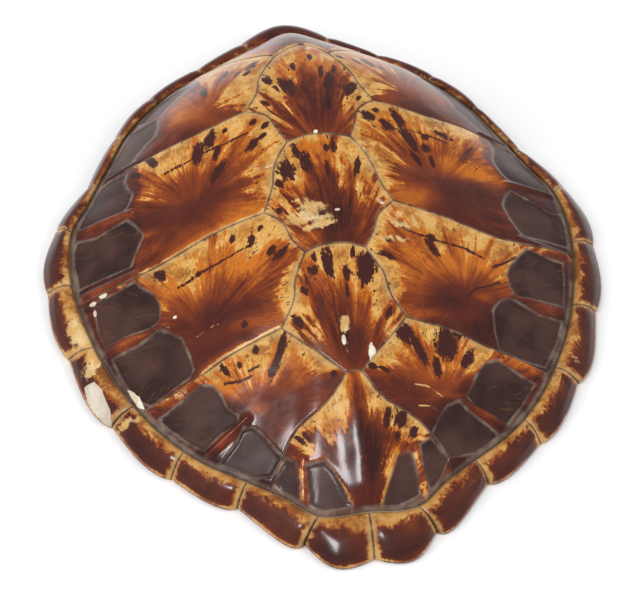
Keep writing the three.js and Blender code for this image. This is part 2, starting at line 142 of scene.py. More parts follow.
# The lines between the scutes. Those of the left are given as for the right side.
SEAMS = {
    "left": {
        "v1c1": [(17, 141), (24, 147.5), (33, 152), (45, 160), (61, 175.5)],
        "v2c1": [(17, 141), (30, 119), (35, 101), (44, 86.5)],
        "v2c2": [(44, 86.5), (31.5, 79), (26.5, 67), (21, 54)],
        "v3c2": [(21, 54), (31, 39), (34.5, 23), (42, 6)],
        "v3c3": [(42, 6), (31.5, -4), (27, -17), (20, -27)],
        "v4c3": [(20, -27), (28, -43), (31, -57), (40.5, -72)],
        "v4c4": [(40.5, -72), (28, -84), (13, -98.5), (4, -107)],
        "v5c4": [(4, -107), (19, -123), (41, -137), (59, -165)],
        "c1c2": [(44, 86.5), (72, 82), (112, 83), (144, 82.5)],
        "c2c3": [(42, 6), (75, 1.5), (112, -7), (165, -12)],
        "c3c4": [(40.5, -72), (76, -82), (102, -92), (132.5, -99)],
    },
    "right": {
        "v1c1": [(19, 140), (25, 147), (34, 152), (46, 160), (61, 175.5)],
        "v2c1": [(19, 140), (29.5, 118), (34, 102), (41, 87)],
        "v2c2": [(41, 87), (30, 79), (25, 66), (20.5, 54)],
        "v3c2": [(20.5, 54), (31, 38), (35, 22), (42, 7)],
        "v3c3": [(42, 7), (31, -4), (26, -15), (19, -27)],
        "v4c3": [(19, -27), (28, -43), (31, -57), (39, -72)],
        "v4c4": [(39, -72), (27, -85), (13, -99), (6, -107)],
        "v5c4": [(6, -107), (19, -124), (41, -138), (58, -166)],
        "c1c2": [(41, 87), (72, 81.5), (108, 84), (145, 80)],
        "c2c3": [(42, 7), (75, 0), (112, -8), (166, -7)],
        "c3c4": [(39, -72), (70, -80), (95, -89), (132, -99.5)],
    },
    "across": {
        "v1v2": [(-17, 141), (-7, 147.5), (4, 150), (13, 147), (19, 140)],
        "v2v3": [(-21, 54), (-8, 58), (6, 57.5), (20.5, 54)],
        "v3v4": [(-20, -27), (-8, -24), (5, -24), (19, -27)],
        "v4v5": [(-4, -107), (1, -106), (6, -107)],
    },
}

# The windows between the rib ends of each side, from the head to the tail. One whose
# middle lies further to the side of a scute's than WINDOW_RANGE doesn't touch it.
WINDOW_RANGE = 120
WINDOWS = {
    "left": [
        [(-75, 143), (-85, 133), (-97, 122), (-104, 122), (-112, 133), (-97, 150), (-80, 155)],
        [(-98, 118), (-99, 108), (-102, 101), (-108, 98), (-115, 92), (-119, 88), (-138, 90),
         (-128, 108), (-119, 122), (-104, 121)],
        [(-123, 79), (-125, 72), (-124, 65), (-121, 57), (-124, 49), (-128, 45), (-157, 46),
         (-159, 50), (-150, 66), (-143, 79), (-135, 83)],
        [(-127, 38), (-124, 33), (-120, 25), (-118, 20), (-122, 12), (-126, 5), (-128, 0),
         (-163, -1), (-165, 30), (-160, 38), (-148, 34)],
        [(-127, -11), (-123, -18), (-116, -26), (-113, -34), (-114, -44), (-120, -48),
         (-136, -47), (-150, -49), (-153, -38), (-155, -14), (-140, -14)],
        [(-147, -58), (-130, -56), (-115, -51), (-109, -55), (-102, -62), (-99, -72),
         (-97, -84), (-100, -88), (-112, -92), (-126, -97), (-134, -90), (-141, -76)],
        [(-94, -94), (-86, -97), (-82, -104), (-79, -113), (-73, -118), (-74, -123),
         (-85, -127), (-96, -134), (-104, -128), (-119, -112), (-122, -107), (-108, -101)],
        [(-71, -126), (-64, -127), (-59, -133), (-53, -142), (-48, -148), (-57, -158),
         (-75, -155), (-91, -146), (-85, -141), (-77, -134)],
        [(-47, -149), (-41, -153), (-40, -165), (-42, -180), (-50, -172), (-57, -160)],
        [(-36, -156), (-24, -156), (-19, -162), (-13, -175), (-10, -184), (-28, -185),
         (-36, -180)],
    ],
    "right": [
        [(85, 135), (95, 122), (100, 114), (101, 106), (106, 100), (120, 90), (135, 90),
         (125, 112), (115, 130), (98, 150), (82, 156)],
        [(122, 82), (123, 72), (120, 62), (120, 56), (124, 48), (128, 44), (145, 42), (160, 43),
         (163, 48), (152, 70), (142, 84)],
        [(128, 36), (122, 28), (119, 20), (122, 10), (127, 1), (130, -2), (163, -1), (166, 28),
         (155, 25), (145, 30), (135, 33)],
        [(130, -11), (124, -18), (116, -27), (112, -35), (113, -44), (116, -50), (140, -49),
         (150, -49), (154, -30), (156, -15), (145, -14)],
        [(110, -52), (118, -54), (130, -59), (147, -60), (141, -75), (129, -95), (112, -93),
         (98, -88), (97, -76), (98, -62), (104, -55)],
        [(96, -95), (87, -98), (81, -105), (76, -113), (72, -119), (75, -124), (85, -129),
         (96, -136), (108, -123), (120, -107), (110, -103)],
        [(66, -123), (58, -126), (52, -133), (46, -143), (56, -157), (75, -153), (92, -143),
         (83, -136), (73, -129)],
        [(37, -150), (45, -145), (55, -157), (48, -170), (40, -180), (37, -165)],
        [(22, -157), (31, -155), (33, -165), (34, -180), (20, -186), (8, -186), (13, -175)],
    ],
}

# The rib ends that stand up between the windows, and how high each stands.
RIB_END_WIDTH = 2.0
RIBS = [
    [(-118, 85), (-143, 86), 1.5], [(-124, 42), (-165, 45), 2.0], [(-125, -6), (-165, -8), 2.0],
    [(-112, -50), (-155, -54), 2.25], [(-93, -91), (-131, -103), 2.75],
    [(-68, -122), (-100, -141), 3.0], [(-37, -152), (-42, -184), 1.875],
    [(118, 87), (143, 88), 1.5], [(124, 40), (165, 43), 2.0], [(126, -5), (165, -9), 2.0],
    [(112, -51), (155, -54), 2.25], [(94, -91), (131, -101), 2.5],
    [(68, -123), (100, -139), 2.5], [(35, -151), (41, -183), 1.875],
]

# What each scute shows:
# heart: where its growth began, the middle of its rays.
# bands: widths of the amber growth along its front, rear, left and right edges.
# bands_end: where the side bands die out, as a share of the way back.
# streaky: how ragged the bands are. golden and plain: lines with amber and without.
# blotches: x, y, width and length of dark marks that lie along the rays.
# glows: x, y, half width, half length and strength, where the brown turns orange, or
#   darker below 0. pale: worn places, and one painted highlight, given in the same way.
# chips: x, y and half sizes of flaked places, and two painted highlights. bare: outlines of
# larger ones.
# pits: x, y and half sizes of hollows. lines: dark growth lines. scratches: fine pale lines.
LOOK = {
    "vertebral_1": {
        "heart": (0, 158), "bands": (4, 3, 6, 6), "glows": [(0, 172, 50, 16, -0.2)],
        "blotches": [(2, 153, 4, 5), (-9, 156, 3, 6), (16, 154, 3, 6)],
    },
    "vertebral_2": {
        "heart": (1, 44), "bands": (18, 0, 12, 11), "bands_end": 0.5, "streaky": 1.15,
        "blotches": [
            (-26, 112, 5, 10), (-14, 103, 9, 19), (-22, 103, 3, 8), (-31, 90, 3, 8),
            (10, 115, 3, 14), (14, 105, 6, 16), (27, 98, 6, 15), (31, 88, 3, 5),
            (5, 132, 3, 8), (-8, 122, 3, 9), (19, 118, 3, 9),
        ],
        "glows": [(0, 70, 13, 14, 0.5), (-8, 92, 9, 14, -0.5), (10, 84, 9, 18, -0.3)],
        "chips_and_glints": [(6, 145, 1.6, 1.4), (-1.5, 60, 1.3, 1.2)],
    },
    "vertebral_3": {
        "heart": (2, -40), "bands": (21, 0, 12, 12), "bands_end": 0.5, "streaky": 1.15,
        "blotches": [
            (-16, 45, 5, 11), (8, 47, 4, 12), (3, 46, 3, 6), (-24, 33, 10, 15),
            (-11, 36, 7, 17), (21.5, 30, 4, 16), (-30, 24, 5, 7), (-33, 4, 3.5, 4),
            (2, 28, 3, 12),
        ],
        "glows": [(8, -4, 10, 24, -0.6), (-14, -19, 16, 5, 0.5), (14, 12, 5, 18, 0.4)],
        "pale": [
            (-14, 3, 13, 2.6, 0.6), (-13, -5, 13, 3.0, 0.85), (-18, 9, 8, 2.0, 0.5),
            (-5, -10, 6, 1.6, 0.7), (33, 5, 4, 2.5, 0.6), (-20, -1, 8, 1.5, 0.5),
            (-14, -12, 9, 1.8, 0.6),
        ],
        # The first chip is a painted highlight: a glint of light on the lacquer, painted cream.
        "chips_and_glints": [(4, -1.5, 1.8, 0.9), (34, 4, 1.4, 1)],
        "pits": [(-5, -3.5, 3.5, 1.6)],
    },
    "vertebral_4": {
        "heart": (0, -116), "bands": (18, 0, 10, 11), "bands_end": 0.5,
        "blotches": [
            (-15, -32, 3, 7), (-16, -40, 6, 6), (-7, -37, 6.5, 21), (10, -31, 3, 8),
            (17, -41, 12, 21), (4, -45, 4, 9), (-24, -52, 4, 6), (-30, -71, 5.5, 9),
            (28, -70, 3.5, 9), (3, -56, 2.5, 10),
        ],
        "glows": [(0, -92, 13, 12, -0.5), (10, -70, 8, 16, 0.3), (-14, -80, 9, 9, 0.2)],
        # The first pale mark and the first chip are painted highlights: glints of light on the
        # lacquer, painted cream.
        "pale": [(-1, -77, 2.2, 6, 0.95), (-2, -93, 3, 9, 0.35)],
        "chips_and_glints": [(14, -97, 2.3, 6.5), (-3, -86, 1.3, 3.2)],
    },
    "vertebral_5": {
        "heart": (0, -190), "bands": (17, 0, 12, 11), "bands_end": 0.85, "streaky": 0.9,
        "blotches": [
            (18, -135, 5, 13), (27, -136, 7, 12), (23, -146, 4, 6), (-37, -142, 2.5, 9),
            (-33, -141, 2.5, 9), (34, -143, 4, 7),
        ],
        "glows": [
            (-22, -162, 6, 7, 0.35), (21, -158, 4, 9, 0.4), (2, -166, 13, 22, -0.9),
            (-4, -144, 26, 12, -0.5), (10, -122, 3, 9, 0.4),
        ],
        "pale": [(-12, -120, 7, 9, 0.5)],
        "lines": [[(-19, -160), (-12, -159.5), (-7, -157.5), (-2, -157.5)]],
        "golden": [
            [(-20, -161), (-14, -175), (-10, -186)], [(22, -156), (14, -172), (8, -186)],
            [(34, -158), (37, -182)], [(-38, -156), (-41, -182)], [(6, -116), (8, -136)],
            [(12, -119), (15, -138)], [(17, -126), (20, -134)],
            [(30, -149), (37, -147), (46, -147)], [(36, -143), (44, -142)],
            [(-31, -150), (-38, -149), (-46, -151)], [(-30, -146), (-42, -147)],
        ],
        "plain": [[(1, -108), (1, -150)]],
    },
    "costal_1_left": {
        "heart": (-68, 97), "bands": (24, 0, 0, 20),
        "blotches": [
            (-33, 136, 5, 12), (-38, 127, 3.5, 7), (-67, 122, 4, 14), (-51, 136, 3, 9),
            (-44, 130, 2.5, 8),
        ],
        "glows": [(-90, 115, 14, 18, 0.7), (-66, 112, 26, 16, 0.45), (-105, 92, 12, 5, 0.7)],
    },
    "costal_2_left": {
        "heart": (-84, 26), "bands": (20, 2, 0, 13),
        "blotches": [
            (-78, 66, 6.5, 17), (-69, 72, 6.5, 14), (-107, 78, 5, 14), (-59, 75, 3, 4),
            (-40, 75, 4, 5), (-33, 70, 4, 6), (-66, 60, 4, 10), (-67, 46, 5, 15),
            (-43, 57, 5, 9), (-36, 62, 3, 6), (-118, 72, 4, 9),
        ],
        "glows": [
            (-60, 9, 24, 9, 1.2), (-104, 5, 24, 9, 0.9), (-117, 18, 9, 3, 0.9),
            (-80, 30, 30, 14, -0.15), (-140, 39, 20, 3.5, 0.5), (-122, 30, 4, 9, -0.6),
        ],
        "pale": [(-105, 22, 20, 7, 0.12)],
        "lines": [[(-100, 61), (-85, 62), (-72, 64), (-60, 64.5), (-52, 66), (-45, 67)]],
    },
    "costal_3_left": {
        "heart": (-86, -60), "bands": (19, 2, 0, 9),
        "blotches": [
            (-111, -15, 6.5, 8), (-52, -11, 4, 6), (-41, -22, 4.5, 7), (-36, -26, 5, 12),
            (-87, -23, 4, 3.5), (-63, -65, 4, 4), (-64, -7, 4, 6), (-46, -5, 3, 5),
        ],
        "glows": [
            (-62, -30, 26, 12, 0.75), (-60, -66, 24, 5, 0.8), (-105, -28, 12, 6, 0.4),
            (-86, -66, 16, 12, -0.5), (-58, -53, 20, 4, -0.3), (-140, -51, 20, 3, 0.6),
            (-146, -6, 18, 3, 0.6),
        ],
        "chips_and_glints": [
            (-105, -46.5, 1.2, 1), (-148, -12, 2.6, 1.8), (-155, -15, 2, 1.5),
            (-154, -22, 1, 2.8),
        ],
        "bare": [[(-140, -80), (-136, -83), (-132, -88), (-130, -97), (-134, -94), (-137, -87)]],
        "lines": [
            [(-101, -28), (-93, -26), (-87, -23), (-78, -21), (-70, -19), (-60, -16), (-50, -14)],
        ],
        "scratches": [[(-93, -64), (-86, -61), (-79, -60)]],
    },
    "costal_4_left": {
        "heart": (-60, -122), "bands": (19, 0, 0, 9),
        "blotches": [
            (-44, -88, 5, 28), (-78, -90, 3, 9), (-69, -89, 3, 4), (-58, -82, 3.5, 5),
            (-50, -97, 4.5, 6), (-12, -106, 4, 4),
        ],
        "glows": [
            (-60, -118, 6, 4, 0.8), (-55, -118, 18, 12, -0.4), (-48, -137, 10, 5, 0.7),
            (-112, -99, 18, 3.5, 0.5), (-84, -131, 14, 3.5, 0.7), (-90, -100, 8, 8, 0.2),
        ],
        "pale": [(-112, -97, 16, 2.6, 0.5), (-60, -120, 4, 3, 0.25)],
        "lines": [[(-79, -98), (-70, -99), (-62, -97)], [(-64, -94), (-57, -92)]],
    },
    "costal_1_right": {
        "heart": (66, 98), "bands": (24, 0, 18, 0),
        "blotches": [(45, 134, 5, 12), (37, 132, 3, 9), (54, 128, 3, 8), (26, 136, 3, 7)],
        "glows": [(52, 92, 9, 6, 0.4), (66, 112, 26, 16, 0.3), (92, 104, 16, 14, 0.4)],
    },
    "costal_2_right": {
        "heart": (76, 24), "bands": (17, 0, 12, 0),
        "blotches": [
            (35, 72, 7, 9), (41, 77, 4, 5), (46, 65, 7, 10), (55, 72, 6.5, 14),
            (60, 57, 6.5, 20), (63, 43, 4, 11), (72, 61, 5, 5), (71, 52, 6, 6), (74, 43, 3, 8),
            (85, 67, 12, 5),
        ],
        "glows": [
            (57, 10, 24, 9, 1.1), (92, 42, 20, 8, 0.9), (115, 40, 18, 6, 0.8),
            (90, 12, 32, 14, -0.35), (118, 13, 10, 2, 0.8), (143, 38, 18, 3, 0.3),
            (118, 2, 10, 1.5, 0.8),
        ],
        "pale": [(112, 74, 10, 8, 0.2)],
        "lines": [[(62, 64), (75, 63), (88, 61)]],
    },
    "costal_3_right": {
        "heart": (80, -58), "bands": (17, 0, 9, 0),
        "blotches": [
            (33, -33, 4.5, 11), (63, -25, 4.5, 14), (44, -10, 2.5, 6), (34, -22, 3, 4),
            (64, -18, 5, 6),
        ],
        "glows": [
            (62, -36, 26, 12, 0.9), (58, -70, 24, 4, 0.7), (92, -55, 7, 3, 1.0),
            (70, -60, 22, 9, -0.3), (88, -76, 12, 10, -0.4), (135, -54, 20, 4, 0.6),
            (140, -8, 18, 4, 0.6), (100, -32, 12, 6, 0.2),
        ],
        "pale": [
            (46, -2, 16, 5, 0.55), (42, -12, 12, 3, 0.6), (40, -21, 13, 2.6, 0.6),
            (72, -7, 14, 4, 0.3),
        ],
        "lines": [
            [(44, -9), (46, -13), (52, -16), (62, -18), (70, -20), (85, -22), (98, -27)],
            [(103, -32), (112, -27), (121, -21)], [(82, -56), (88, -50), (98, -46), (106, -42)],
        ],
    },
    "costal_4_right": {
        "heart": (56, -122), "bands": (20, 0, 9, 0),
        "blotches": [
            (37, -83, 11, 12), (44, -92, 6, 21), (63, -88, 14, 20), (55, -103, 5, 12),
            (76, -97, 6, 14), (72, -81, 6, 6), (13, -104, 4, 5), (20, -106, 3, 6),
        ],
        "glows": [
            (62, -120, 9, 2.5, 0.9), (45, -116, 22, 7, -0.3), (88, -131, 14, 3.5, 0.5),
            (112, -96, 18, 3.5, 0.5), (48, -132, 8, 4, 0.3),
        ],
        "scratches": [[(39, -114), (47, -115), (56, -121)], [(40, -127), (48, -127), (54, -131)]],
    },
}


class Wire:
    """A value in a finish's nodes. Arithmetic on it adds Math nodes."""

    def __init__(self, finish, socket):
        self.finish = finish
        self.socket = socket

    def maths(self, operation, *values):
        settings = {"operation": operation}
        return self.finish.add("ShaderNodeMath", settings, dict(enumerate(values)))

    def __add__(self, other):
        return self.maths("ADD", self, other)

    def __sub__(self, other):
        return self.maths("SUBTRACT", self, other)

    def __rsub__(self, other):
        return self.maths("SUBTRACT", other, self)

    def __mul__(self, other):
        return self.maths("MULTIPLY", self, other)

    __radd__ = __add__
    __rmul__ = __mul__

    def rise(self, start, end):
        """0 below start and 1 above end, softly. It falls where start is the higher one."""
        low, high, first, last = (start, end, 0, 1) if start < end else (end, start, 1, 0)
        return self.finish.add(
            "ShaderNodeMapRange", {"interpolation_type": "SMOOTHSTEP"},
            {0: self, 1: low, 2: high, 3: first, 4: last},
        )


class Finish:
    """A material made of nodes, built up by add()."""

    def __init__(self, name, **constants):
        self.material = bpy.data.materials.new(name)
        self.material.use_nodes = True
        self.nodes = self.material.node_tree.nodes
        self.links = self.material.node_tree.links
        self.surface = self.nodes["Principled BSDF"]
        self.feed(self.surface, constants)

    def feed(self, node, values):
        for key, value in values.items():
            socket = node.inputs[key.replace("_", " ") if isinstance(key, str) else key]
            if isinstance(value, Wire):
                self.links.new(value.socket, socket)
            else:
                socket.default_value = value

    def add(self, kind, settings, values, output=0):
        node = self.nodes.new(kind)
        for key, value in settings.items():
            if key == "stops":
                ramp = node.color_ramp.elements
                while len(ramp) < len(value):
                    ramp.new(0.5)
                for stop, (place, colour) in zip(ramp, value):
                    stop.position = place
                    stop.color = colour
            else:
                setattr(node, key, value)
        self.feed(node, values)
        return Wire(self, node.outputs[output])

    def field(self, name, output=2):
        """A number given to the mesh's corners, or three numbers with output 1."""
        return self.add("ShaderNodeAttribute", {"attribute_name": name}, {}, output)

    def noise(self, vector, scale, detail=2, roughness=0.5):
        return self.add("ShaderNodeTexNoise", {}, {
            "Vector": vector, "Scale": scale, "Detail": detail, "Roughness": roughness,
        })

    def over(self, share, below, above):
        """The colour above laid over the colour below, by a share from 0 to 1."""
        return self.add("ShaderNodeMix", {"data_type": "RGBA"}, {0: share, 6: below, 7: above}, 2)

    def layered(self, colour, *layers):
        """A colour with others laid over it in turn, each given as its share and itself."""
        for share, above in layers:
            colour = self.over(share, colour, above)
        return colour


def tint(red, green, blue):
    """A colour given as it looks on a screen, 0 to 255."""
    return (*(((c / 255 + 0.055) / 1.055) ** 2.4 for c in (red, green, blue)), 1)


def uneven(horn):
    """The unevenness of horn, each kind around 0. broad, fine and hair run along the rays
    and fade near the heart. speck, cloud and patch lie all over, the smallest first. place
    is where on the shell they lie."""
    rays = horn.field("rays", 1)
    place = horn.add("ShaderNodeTexCoord", {}, {}, 3)
    away = horn.field("reach").rise(6, 40)
    return SimpleNamespace(
        place=place,
        broad=(horn.noise(rays, 0.8, 2) - 0.5) * (away * 0.75 + 0.25),
        fine=(horn.noise(rays, 3.0, 3, 0.6) - 0.5) * away,
        hair=(horn.noise(rays, 9, 2, 0.6) - 0.5) * away,
        speck=horn.noise(place, 420, 3, 0.6) - 0.5,
        cloud=horn.noise(place, 90, 3, 0.6) - 0.5,
        patch=horn.noise(place, 34, 2, 0.5) - 0.5,
    )


def grown_horn(horn, n, cores, ambers):
    """Brown horn with rays, and ragged amber growth where the amber field rises above 0."""
    ragged = horn.field("ragged")
    depth = (horn.field("amber") * 0.12 + 0.6 + horn.field("warm") * 0.34
             + (n.fine * 0.9 + n.broad) * (ragged * 0.8 + 0.2)
             + n.hair * 0.45 + n.cloud * 0.3 + n.patch * 0.6)
    brown = horn.add("ShaderNodeValToRGB", {"stops": [
        (0.0, cores[0]), (0.34, cores[1]), (0.58, cores[2]), (0.86, cores[3]),
    ]}, {0: depth})
    deep, middle, light, stain = ambers
    gold = horn.layered(
        deep,
        ((n.fine + n.hair * 0.8 + n.cloud * 1.2).rise(-0.2, 0.12), middle),
        ((n.cloud + n.speck * 0.9).rise(0.02, 0.2) * 0.6, light),
        ((n.cloud + n.patch * 0.8 + n.speck * 0.5).rise(-0.08, -0.2) * 0.6, stain),
        (n.hair.rise(0.06, 0.24) * 0.35, stain),
        ((n.speck * 0.8 - n.cloud * 0.6 + n.fine * 0.5).rise(0.02, 0.16) * 0.6, stain),
    )
    amber = (horn.field("amber") + (n.broad * 6.5 + n.fine * 2.8) * ragged
             + n.cloud * 1.2 + n.speck * 1.3)
    rind = (horn.field("edge") + n.cloud * 12 + n.speck * 8).rise(5, 1) * amber.rise(-0.4, 0.5)
    return horn.layered(
        brown, (amber.rise(-0.3, 0.05), cores[3]), (amber.rise(-0.02, 0.24), gold),
        (rind * 0.5, tint(186, 154, 102)),
    )


def marked_horn(horn, n, colour, cores):
    """Dark rays that trail from the heart, dark blotches with a brown halo, and pale places
    where the lacquer has worn, one of them a painted highlight."""
    trail = (n.broad + n.hair * 0.3).rise(-0.17, -0.25) * horn.field("trail")
    mark = horn.field("dark") + n.fine * 1.6 + n.hair * 1.2 + n.speck * 1.1
    pale = horn.field("pale")
    torn = n.cloud * 1.6 + (n.fine + n.hair * 0.8 + n.cloud * 1.2) * 0.7 + n.speck * 0.6
    worn_and_glint = (pale + torn * pale.rise(0, 0.25)).rise(0.3, 0.66)
    cream = horn.over(n.cloud.rise(-0.12, 0.12), tint(232, 206, 154), tint(206, 162, 96))
    return horn.layered(
        colour, (trail * 0.8, cores[0]), (mark.rise(0.28, 0.36) * 0.7, cores[1]),
        (mark.rise(0.36, 0.52), tint(60, 22, 16)), (worn_and_glint * 0.85, cream),
    )


def horn_finish(name, cores, ambers, flake_and_glint_colours):
    """Lacquered horn. cores runs from the darkest brown to orange, ambers from deep to light
    and then its stains, and the last colours are those under a chip, also used for painted
    highlights."""
    horn = Finish(name, Coat_Roughness=0.12, IOR=1.5, Specular_IOR_Level=0.26)
    n = uneven(horn)
    window = horn.field("window") + n.cloud * 1.4
    # Over the windows the horn is painted dark: painted shade of the hollow under the shell.
    window_shade = horn.layered(
        tint(44, 23, 20), (n.patch.rise(-0.15, 0.15), tint(70, 44, 38)),
        ((n.hair + n.fine).rise(0.06, 0.3) * 0.35, tint(110, 70, 38)),
    )
    dust = horn.field("dust") + n.cloud * 0.7 + n.speck * 0.4
    grey = horn.over(n.cloud.rise(-0.15, 0.15), tint(88, 70, 62), tint(128, 112, 98))
    seam = (horn.field("edge") + n.cloud * 0.8 + n.speck * 0.5).rise(1.0, 0.35)
    grime = horn.over(n.cloud.rise(-0.1, 0.1), tint(78, 54, 44), tint(132, 108, 86))
    flake_and_glint = (horn.field("chip") + n.speck * 0.7 + n.cloud * 0.5).rise(0.45, 0.6)
    colour = horn.layered(
        marked_horn(horn, n, grown_horn(horn, n, cores, ambers), cores),
        (window.rise(-0.5, 0.9), window_shade), (dust.rise(0.25, 0.85) * 0.75, grey),
        (seam * 0.8, grime), (flake_and_glint, horn.over(n.cloud.rise(-0.1, 0.15), *flake_and_glint_colours)),
    )
    dull = dust.rise(0.2, 1) * 0.5 + window.rise(0, 2) * 0.5
    horn.feed(horn.surface, {
        "Base Color": colour,
        "Roughness": 0.26 + dull * 0.3 + flake_and_glint * 0.3 + n.cloud * 0.16 + seam * 0.3,
        "Coat Weight": 0.34 - dull * 0.3 - flake_and_glint * 0.3,
        "Normal": horn.add("ShaderNodeBump", {}, {
            "Strength": 0.5, "Distance": 0.0011,
            "Height": horn.noise(n.place, 60, 2) + n.speck * 0.035 + n.fine * 0.05,
        }),
    })
    return horn.material


scute_horn = horn_finish(
    "scute_horn",
    [tint(50, 16, 13), tint(88, 32, 13), tint(130, 56, 15), tint(190, 106, 26)],
    [tint(178, 116, 44), tint(208, 154, 76), tint(216, 178, 112), tint(136, 76, 30)],
    [tint(204, 188, 160), tint(232, 226, 208)],
)


def angle_of(x, y):
    """The turn round the dome's middle, from 0 at the tail, above 0 to the right."""
    return np.arctan2(x, DOME_CENTRE_Y - y)


groove_angles = np.array([angle_of(x, y) for x, y in GROOVE])
groove_radii = np.array([math.hypot(x, y - DOME_CENTRE_Y) for x, y in GROOVE])


def groove_radius(angle):
    """How far the groove inside the rim lies from the middle of the dome, by a smooth line."""
    turn = math.pi - np.abs(math.pi - np.abs(angle))
    at = np.concatenate([[-groove_angles[1]], groove_angles, [2 * math.pi - groove_angles[-2]]])
    r = np.concatenate([[groove_radii[1]], groove_radii, [groove_radii[-2]]])
    i = np.clip(np.searchsorted(groove_angles, turn), 1, len(groove_angles) - 1) + 1
    wide = at[i] - at[i - 1]
    slope0 = (r[i] - r[i - 2]) / (at[i] - at[i - 2]) * wide
    slope1 = (r[i + 1] - r[i - 1]) / (at[i + 1] - at[i - 1]) * wide
    t = (turn - at[i - 1]) / wide
    return (r[i - 1] * (1 + 2 * t) * (1 - t) ** 2 + slope0 * t * (1 - t) ** 2
            + r[i] * t * t * (3 - 2 * t) + slope1 * t * t * (t - 1))


def point_at(angle, share):
    """A place in plan, by its angle and its share of the way to the groove."""
    r = groove_radius(angle) * share
    return np.stack([r * np.sin(angle), DOME_CENTRE_Y - r * np.cos(angle)], -1)


def smoothly(value, low, high):
    """0 below low and 1 above high, softly."""
    t = np.clip((value - low) / (high - low), 0, 1)
    return t * t * (3 - 2 * t)


def near(distance, width):
    """1 where a distance is 0, falling to nothing a little past a width."""
    return np.exp(-((distance / width) ** 2))


def dome_height(x, y):
    """Height of the horn's outer face over the dome, keel included."""
    r = np.hypot(x, y - DOME_CENTRE_Y)
    along = np.abs(y - DOME_CENTRE_Y) / np.maximum(r, 1e-6)
    fall = SIDE_FALL + (np.where(y > DOME_CENTRE_Y, HEAD_FALL, TAIL_FALL) - SIDE_FALL) * along
    keel = KEEL_HEIGHT * near(x, KEEL_WIDTH) * smoothly(-y, 80, 140) * smoothly(y, -187, -172)
    share = r / groove_radius(angle_of(x, y))
    return GROOVE_HEIGHT + DOME_RISE * (1 - share ** fall) + keel


def through(points, count):
    """count steps along a smooth curve through points of any number of values each."""
    p = np.array(points, float)
    at = np.linspace(0, len(p) - 1, count + 1)
    i = np.minimum(at.astype(int), len(p) - 2)
    t = (at - i)[:, None]
    before, a, b, after = p[np.maximum(i - 1, 0)], p[i], p[i + 1], p[np.minimum(i + 2, len(p) - 1)]
    out, into = (b - before) / 2, (after - a) / 2
    return ((2 * a - 2 * b + out + into) * t ** 3
            + (3 * b - 3 * a - 2 * out - into) * t ** 2 + out * t + a)


def smooth_line(points, side=1):
    """A seam in plan, given for the right side and turned over for the left by side -1."""
    return through(np.array(points, float) * (side, 1), 48)


def to_groove(line):
    """The line with its far end moved onto the groove."""
    shift = point_at(angle_of(*line[-1]), 1) - line[-1]
    return line + np.linspace(0, 1, len(line))[:, None] ** 3 * shift


def groove_line(start, end, count=48):
    """The stretch of the groove between two places, the short way round."""
    a, b = angle_of(*start), angle_of(*end)
    b -= round((b - a) / (2 * math.pi)) * 2 * math.pi
    return point_at(np.linspace(a, b, count + 1), 1)


def joined(first, *rest):
    """Lines put end to end. Each starts where the one before it ends."""
    return np.concatenate([first, *(line[1:] for line in rest)])


def at_shares(line, shares):
    """Places on a line, by their shares of the way along it."""
    at = shares * (len(line) - 1)
    return np.stack([np.interp(at, np.arange(len(line)), line[:, k]) for k in (0, 1)], -1)


def middle_of(line):
    return at_shares(line, np.array([0.5]))[0]


def inside_lines(front, rear, left, right, u, v):
    """Places inside four lines, by their shares across and down."""
    u_, v_ = u[:, None], v[:, None]
    return (at_shares(left, v) * (1 - u_) + at_shares(right, v) * u_
            + at_shares(front, u) * (1 - v_) + at_shares(rear, u) * v_
            - front[0] * (1 - u_) * (1 - v_) - front[-1] * u_ * (1 - v_)
            - rear[0] * (1 - u_) * v_ - rear[-1] * u_ * v_)


def share_along(places, a, b):
    """For each place, how far from a to b the nearest place of that straight line lies."""
    return np.clip(((places - a) @ (b - a)) / max((b - a) @ (b - a), 1e-9), 0, 1)[:, None]


def distance_to(places, line):
    """Shortest distance from each place to a line of points."""
    best = np.full(len(places), 1e9)
    for a, b in zip(line[:-1], line[1:]):
        off = places - a - share_along(places, a, b) * (b - a)
        best = np.minimum(best, np.linalg.norm(off, axis=1))
    return best


def depth_inside(places, outline):
    """Distance from each place to a closed outline, below 0 outside it."""
    ring = np.array([*outline, outline[0]], float)
    inside = np.zeros(len(places), bool)
    for (ax, ay), (bx, by) in zip(ring[:-1], ring[1:]):
        if ay != by:
            crosses = (places[:, 1] > ay) != (places[:, 1] > by)
            inside ^= crosses & (places[:, 0] < ax + (places[:, 1] - ay) / (by - ay) * (bx - ax))
    away = distance_to(places, ring)
    return np.where(inside, away, -away)


def beside(places, lines, width):
    """1 on any of the lines, falling to nothing a little past a width."""
    cover = np.zeros(len(places))
    for line in lines:
        cover = np.maximum(cover, near(distance_to(places, np.array(line, float)), width))
    return cover


def spots(places, marks):
    """How strongly soft oval marks cover each place: x, y, half sizes and strength."""
    cover = np.zeros(len(places))
    for x, y, wide, long, strength in marks:
        off = ((places[:, 0] - x) / wide) ** 2 + ((places[:, 1] - y) / long) ** 2
        cover += strength * np.exp(-off * 0.8)
    return cover


def ray_marks(places, marks, heart):
    """1 inside oval marks that lie along the rays from a heart, falling to 0 past them."""
    cover = np.zeros(len(places))
    for x, y, wide, long in marks:
        along = np.array([x - heart[0], y - heart[1]])
        along = along / max(np.linalg.norm(along), 1e-6)
        off = places - (x, y)
        a, b = off @ along, off @ np.array([-along[1], along[0]])
        cover = np.maximum(cover, 1.32 - np.sqrt((a / long * 2) ** 2 + (b / wide * 2) ** 2) * 0.85)
    return np.clip(cover, 0, 1)


